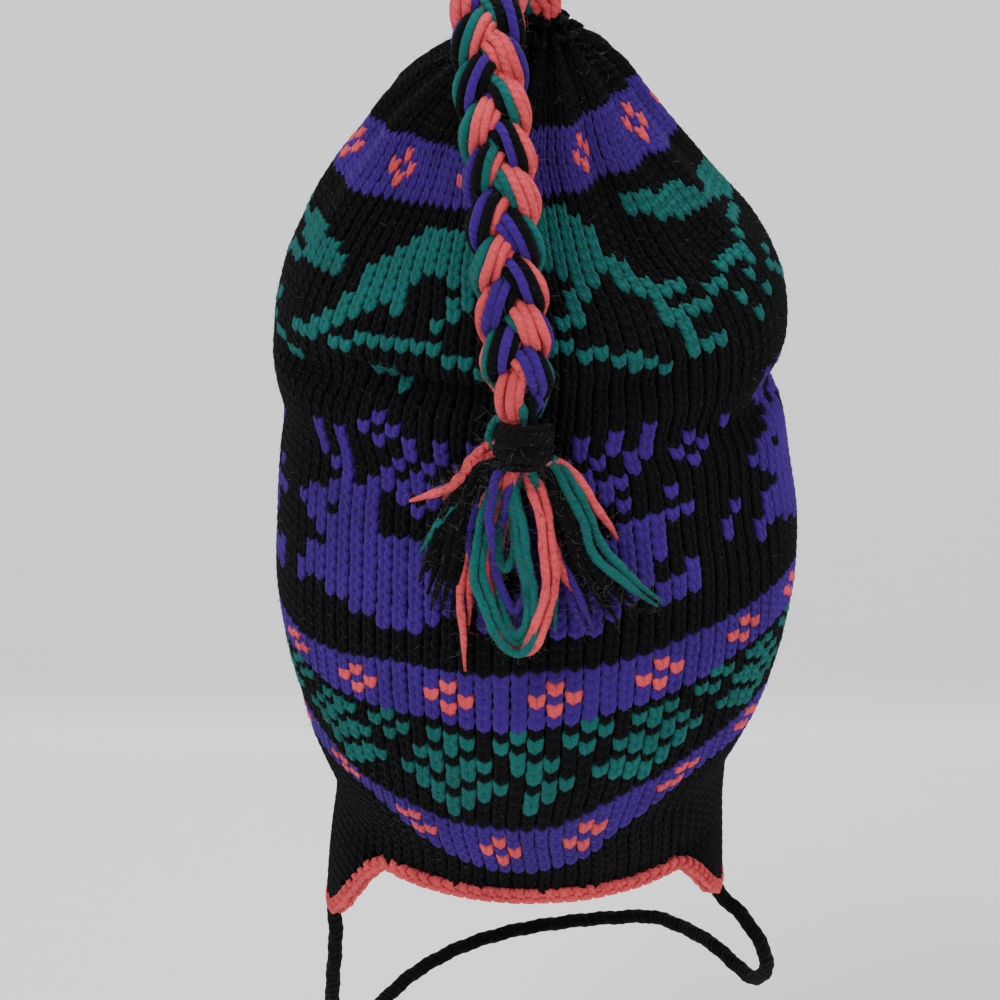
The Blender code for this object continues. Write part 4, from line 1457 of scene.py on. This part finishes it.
class CHULLO_OT_make_braid(bpy.types.Operator):
    """Three strands of parallel yarns, plaited from the gather down the back"""

    bl_idname = "chullo.make_braid"
    bl_label = "Make the braid"

    def execute(self, context):
        radius = context.scene.chullo_strands.braid_yarn
        chance = random.Random(41)
        store = YarnMesh()
        foot = from_shares(WRAP_MIDDLE)
        for number, colours in enumerate(BRAID_COLOURS):
            line = even_points(catmull(strand_line(number), 8), STRAND_POINTS)
            frames = [braid_frame(line, k) for k in range(STRAND_POINTS)]
            for y, colour in enumerate(colours):
                core = y == len(colours) - 1
                offset = 0.0 if core else STRAND_RADIUS * 0.735
                size = radius * (1.75 if core else 1.0)
                start = math.tau * y / 8.0 + number * 0.8
                wander = chance.uniform(0.0, math.tau)
                points = []
                for k, (middle, (across, out)) in enumerate(zip(line, frames)):
                    turn = start + 0.8 * math.sin(k * 0.05 + 1.9 * number) + k * 0.010
                    turn += 0.10 * math.sin(k * 0.21 + wander)
                    loose = 1.0 + 0.07 * math.sin(k * 0.38 + wander)
                    points.append(
                        middle
                        + across * (offset * loose * 1.06 * math.cos(turn))
                        + out * (offset * loose * 0.92 * math.sin(turn)))
                radii = [size * (1.0 + 0.05 * math.sin(k * 0.8 + wander))
                         for k in range(STRAND_POINTS)]
                points.insert(0, points[0] + Vector((0.0, 0.0, -0.005)))
                radii.insert(0, size)
                for share, sink in ((0.35, 0.0020), (0.65, 0.0048)):
                    inward = points[-1].lerp(Vector((foot.x, foot.y, points[-1].z)), share)
                    points.append(inward - Vector((0.0, 0.0, sink)))
                    radii.append(size * 0.95)
                store.tube(points, radii, 7, colour)
        store.finish("braid_yarns", "braid_wool", "braid")
        return {"FINISHED"}


class CHULLO_OT_make_wrap(bpy.types.Operator):
    """Black yarn wound round the end of the braid"""

    bl_idname = "chullo.make_wrap"
    bl_label = "Make the wound band"

    def execute(self, context):
        chance = random.Random(7)
        store = YarnMesh()
        middle = from_shares(WRAP_MIDDLE)
        points = []
        for k in range(WRAP_TURNS * WRAP_STEPS + 1):
            turn = math.tau * k / WRAP_STEPS
            share = k / (WRAP_TURNS * WRAP_STEPS)
            bulge = 1.0 - 0.36 * abs(2.0 * share - 1.0) ** 2.6 + 0.05 * math.sin(turn * 0.23)
            size = (WRAP_RADIUS - 0.0012) * bulge + 0.00025 * math.sin(turn * 0.37 + 1.0)
            height = WRAP_TALL * (0.5 - share) * 0.90 + 0.0003 * math.sin(turn * 1.3)
            points.append(
                middle + Vector((size * math.cos(turn), size * math.sin(turn), height)))
        radii = [0.00125 + 0.00012 * chance.uniform(-1.0, 1.0) for _ in points]
        store.tube(points, radii, 7, BLACK)
        upward = [Vector((0.0, 0.0, 1.0))] * LOOP_STEPS
        for tilt, lean, level in WRAP_LOOPS:
            points = []
            for k in range(LOOP_STEPS):
                turn = math.tau * k / LOOP_STEPS
                size = WRAP_RADIUS - 0.0008 + 0.0003 * math.sin(3.0 * turn + lean)
                height = level + tilt * math.sin(turn + lean)
                points.append(
                    middle + Vector((size * math.cos(turn), size * math.sin(turn), height)))
            store.tube(points, [0.00105] * LOOP_STEPS, 7, BLACK, closed=True, facing=upward)
        turns = [math.tau * k / WRAP_STEPS for k in range(WRAP_STEPS)]
        spokes = [Vector((math.cos(turn), math.sin(turn), 0.0)) for turn in turns]
        rings = []
        for height, size in WRAP_CORE:
            down = Vector((0.0, 0.0, -height * WRAP_TALL))
            rings.append([middle + spoke * size + down for spoke in spokes])
        store.rings(rings, [0.0, 2.0, 9.0, 16.0, 18.0], BLACK)
        store.finish("braid_wrap_winding", "wrap_wool", "braid_wrap")
        return {"FINISHED"}


def back_face(x, z):
    """How far back the crown's face lies at a place on the nape side."""
    angle = math.degrees(math.asin(max(-0.9, min(0.9, x / HALF_WIDE))))
    station = 6.0
    point = crown_point(angle, station)
    for _ in range(14):
        step = crown_point(angle, station + 0.1) - crown_point(angle, station - 0.1)
        rise = step.z / 0.2 or 0.001
        station = min(max(station + (z - point.z) / rise * 0.8, 0.2), 23.0)
        angle += math.degrees((x - point.x) / HALF_WIDE) * 0.8
        point = crown_point(angle, station)
    return point.y


class CHULLO_OT_make_tassel(bpy.types.Operator):
    """Loose yarns and loops that hang from the wound band"""

    bl_idname = "chullo.make_tassel"
    bl_label = "Make the tassel"

    def execute(self, context):
        radius = context.scene.chullo_strands.tassel_yarn
        chance = random.Random(3)
        store = YarnMesh()
        middle = from_shares(WRAP_MIDDLE)
        above = Vector((0.0, 0.0, 0.004))
        for colour, lift, marks in TASSEL_YARNS:
            last = len(marks) - 1
            looped = math.dist(marks[last][:2], marks[0][:2]) < 8.0
            spread = chance.uniform(-3.0, 3.0)
            route = []
            for k, (across, down, *extra) in enumerate(marks):
                x = middle.x + across * 0.001
                z = middle.z - down * 0.001
                if k == 0 or (looped and k == last):
                    y = middle.y - spread * 0.001
                else:
                    raised = (lift + sum(extra)) * 0.001
                    y = min(back_face(x, z) - 0.0016 - raised, middle.y + 0.004)
                    if k == last:
                        y += 0.0016
                route.append(Vector((x, y, z)))
            route.insert(0, route[0] + above)
            if looped:
                route.append(route[-1] + above)
            wander = chance.uniform(0.0, math.tau)
            points = []
            for k, point in enumerate(even_points(catmull(route, 10), 15 * len(route))):
                sway = 0.0003 * math.sin(k * 0.21 + wander)
                points.append(point + Vector((sway, -sway * 0.6, sway * 0.3)))
            size = len(points)
            radii = [radius * (1.0 + 0.07 * math.sin(k * 0.6 + wander)) for k in range(size)]
            if not looped:
                for k in range(size):
                    radii[k] *= min(1.0, 0.28 + (size - 1 - k) / (0.28 * size))
            store.tube(points, radii, 6, colour)
        store.finish("tassel_yarns", "tassel_wool", "tassel")
        return {"FINISHED"}


class CHULLO_OT_make_fuzz(bpy.types.Operator):
    """Loose fibres that stand off the knitting, the braid and the tassel"""

    bl_idname = "chullo.make_fuzz"
    bl_label = "Make the loose fibres"

    def execute(self, context):
        chance = random.Random(99)
        face = knit_face()
        store = YarnMesh()

        def hair(root, out, long, colour):
            lean = Vector([chance.gauss(0.0, 0.55) for _ in range(3)])
            curl = Vector([chance.gauss(0.0, 0.5) for _ in range(3)])
            aim = (out + lean).normalized()
            tip = root + aim * long * 0.80 + curl * long * 0.45
            if long < 0.0022:
                store.tube([root, tip], [0.00007, 0.00004], 3, colour)
            else:
                side = aim.cross(curl) * long * 0.22
                points = [root, root + aim * long * 0.45 + side, tip - side, tip]
                store.tube(points, [0.00007, 0.00006, 0.00005, 0.00003], 3, colour)

        for _ in range(CROWN_FIBRES):
            column = chance.uniform(0.0, COLUMNS)
            row = chance.uniform(1.0, ROW_TOP - 1.0)
            if face.height_at(column, row) < 2.0:
                continue
            point, out = face.at(column, row)
            # About a third of the crown's fibres take the pale colour, painted highlight for
            # fibres that catch the light.
            colour = PALE_HIGHLIGHT if chance.random() < 0.35 else stitch_colour(int(column), int(row))
            hair(point - out * 0.0006, out, chance.uniform(0.0012, 0.0028), colour)
        for name, amount, long in FIBRES:
            source = bpy.data.objects[name].data
            for _ in range(amount):
                patch = source.polygons[chance.randrange(len(source.polygons))]
                # Most fibres of the braid, tassel, edge and wrap take the pale colour, painted
                # highlight for fibres that catch the light.
                colour = PALE_HIGHLIGHT if chance.random() < 0.6 else patch.material_index
                if colour == CORAL and chance.random() < 0.6:
                    colour = BLACK
                length = long * chance.uniform(0.4, 1.0)
                hair(patch.center.copy(), patch.normal.copy(), length, colour)
        store.finish("loose_fibres", "tassel_wool")
        return {"FINISHED"}


class CHULLO_PT_steps(bpy.types.Panel):
    """Steps that make the hat, in order"""

    bl_idname = "CHULLO_PT_steps"
    bl_label = "Chullo hat"
    bl_space_type = "VIEW_3D"
    bl_region_type = "UI"
    bl_category = "Chullo"

    def draw(self, context):
        layout = self.layout
        for group in ("chullo_yarns", "chullo_stitches", "chullo_strands"):
            box = layout.box()
            values = getattr(context.scene, group)
            for name in values.__annotations__:
                box.prop(values, name)
        for step in STEPS:
            layout.operator(step.bl_idname)


GROUPS = (
    ("chullo_yarns", ChulloYarns),
    ("chullo_stitches", ChulloStitches),
    ("chullo_strands", ChulloStrands),
)
STEPS = (
    CHULLO_OT_make_stage,
    CHULLO_OT_make_chin_tie,
    CHULLO_OT_make_lining,
    CHULLO_OT_make_crown,
    CHULLO_OT_make_flaps,
    CHULLO_OT_make_edge,
    CHULLO_OT_make_braid,
    CHULLO_OT_make_wrap,
    CHULLO_OT_make_tassel,
    CHULLO_OT_make_fuzz,
)


def register():
    for name, group in GROUPS:
        bpy.utils.register_class(group)
        setattr(bpy.types.Scene, name, bpy.props.PointerProperty(type=group))
    for step in (*STEPS, CHULLO_PT_steps):
        bpy.utils.register_class(step)


def unregister():
    for step in (CHULLO_PT_steps, *reversed(STEPS)):
        bpy.utils.unregister_class(step)
    for name, group in reversed(GROUPS):
        delattr(bpy.types.Scene, name)
        bpy.utils.unregister_class(group)


def main():
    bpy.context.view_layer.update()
    register()
    bpy.ops.chullo.make_stage()
    bpy.ops.chullo.make_chin_tie()
    bpy.ops.chullo.make_lining()
    bpy.ops.chullo.make_crown()
    bpy.ops.chullo.make_flaps()
    bpy.ops.chullo.make_edge()
    bpy.ops.chullo.make_braid()
    bpy.ops.chullo.make_wrap()
    bpy.ops.chullo.make_tassel()
    bpy.ops.chullo.make_fuzz()
    bpy.context.view_layer.update()


if __name__ == "__main__":
    main()
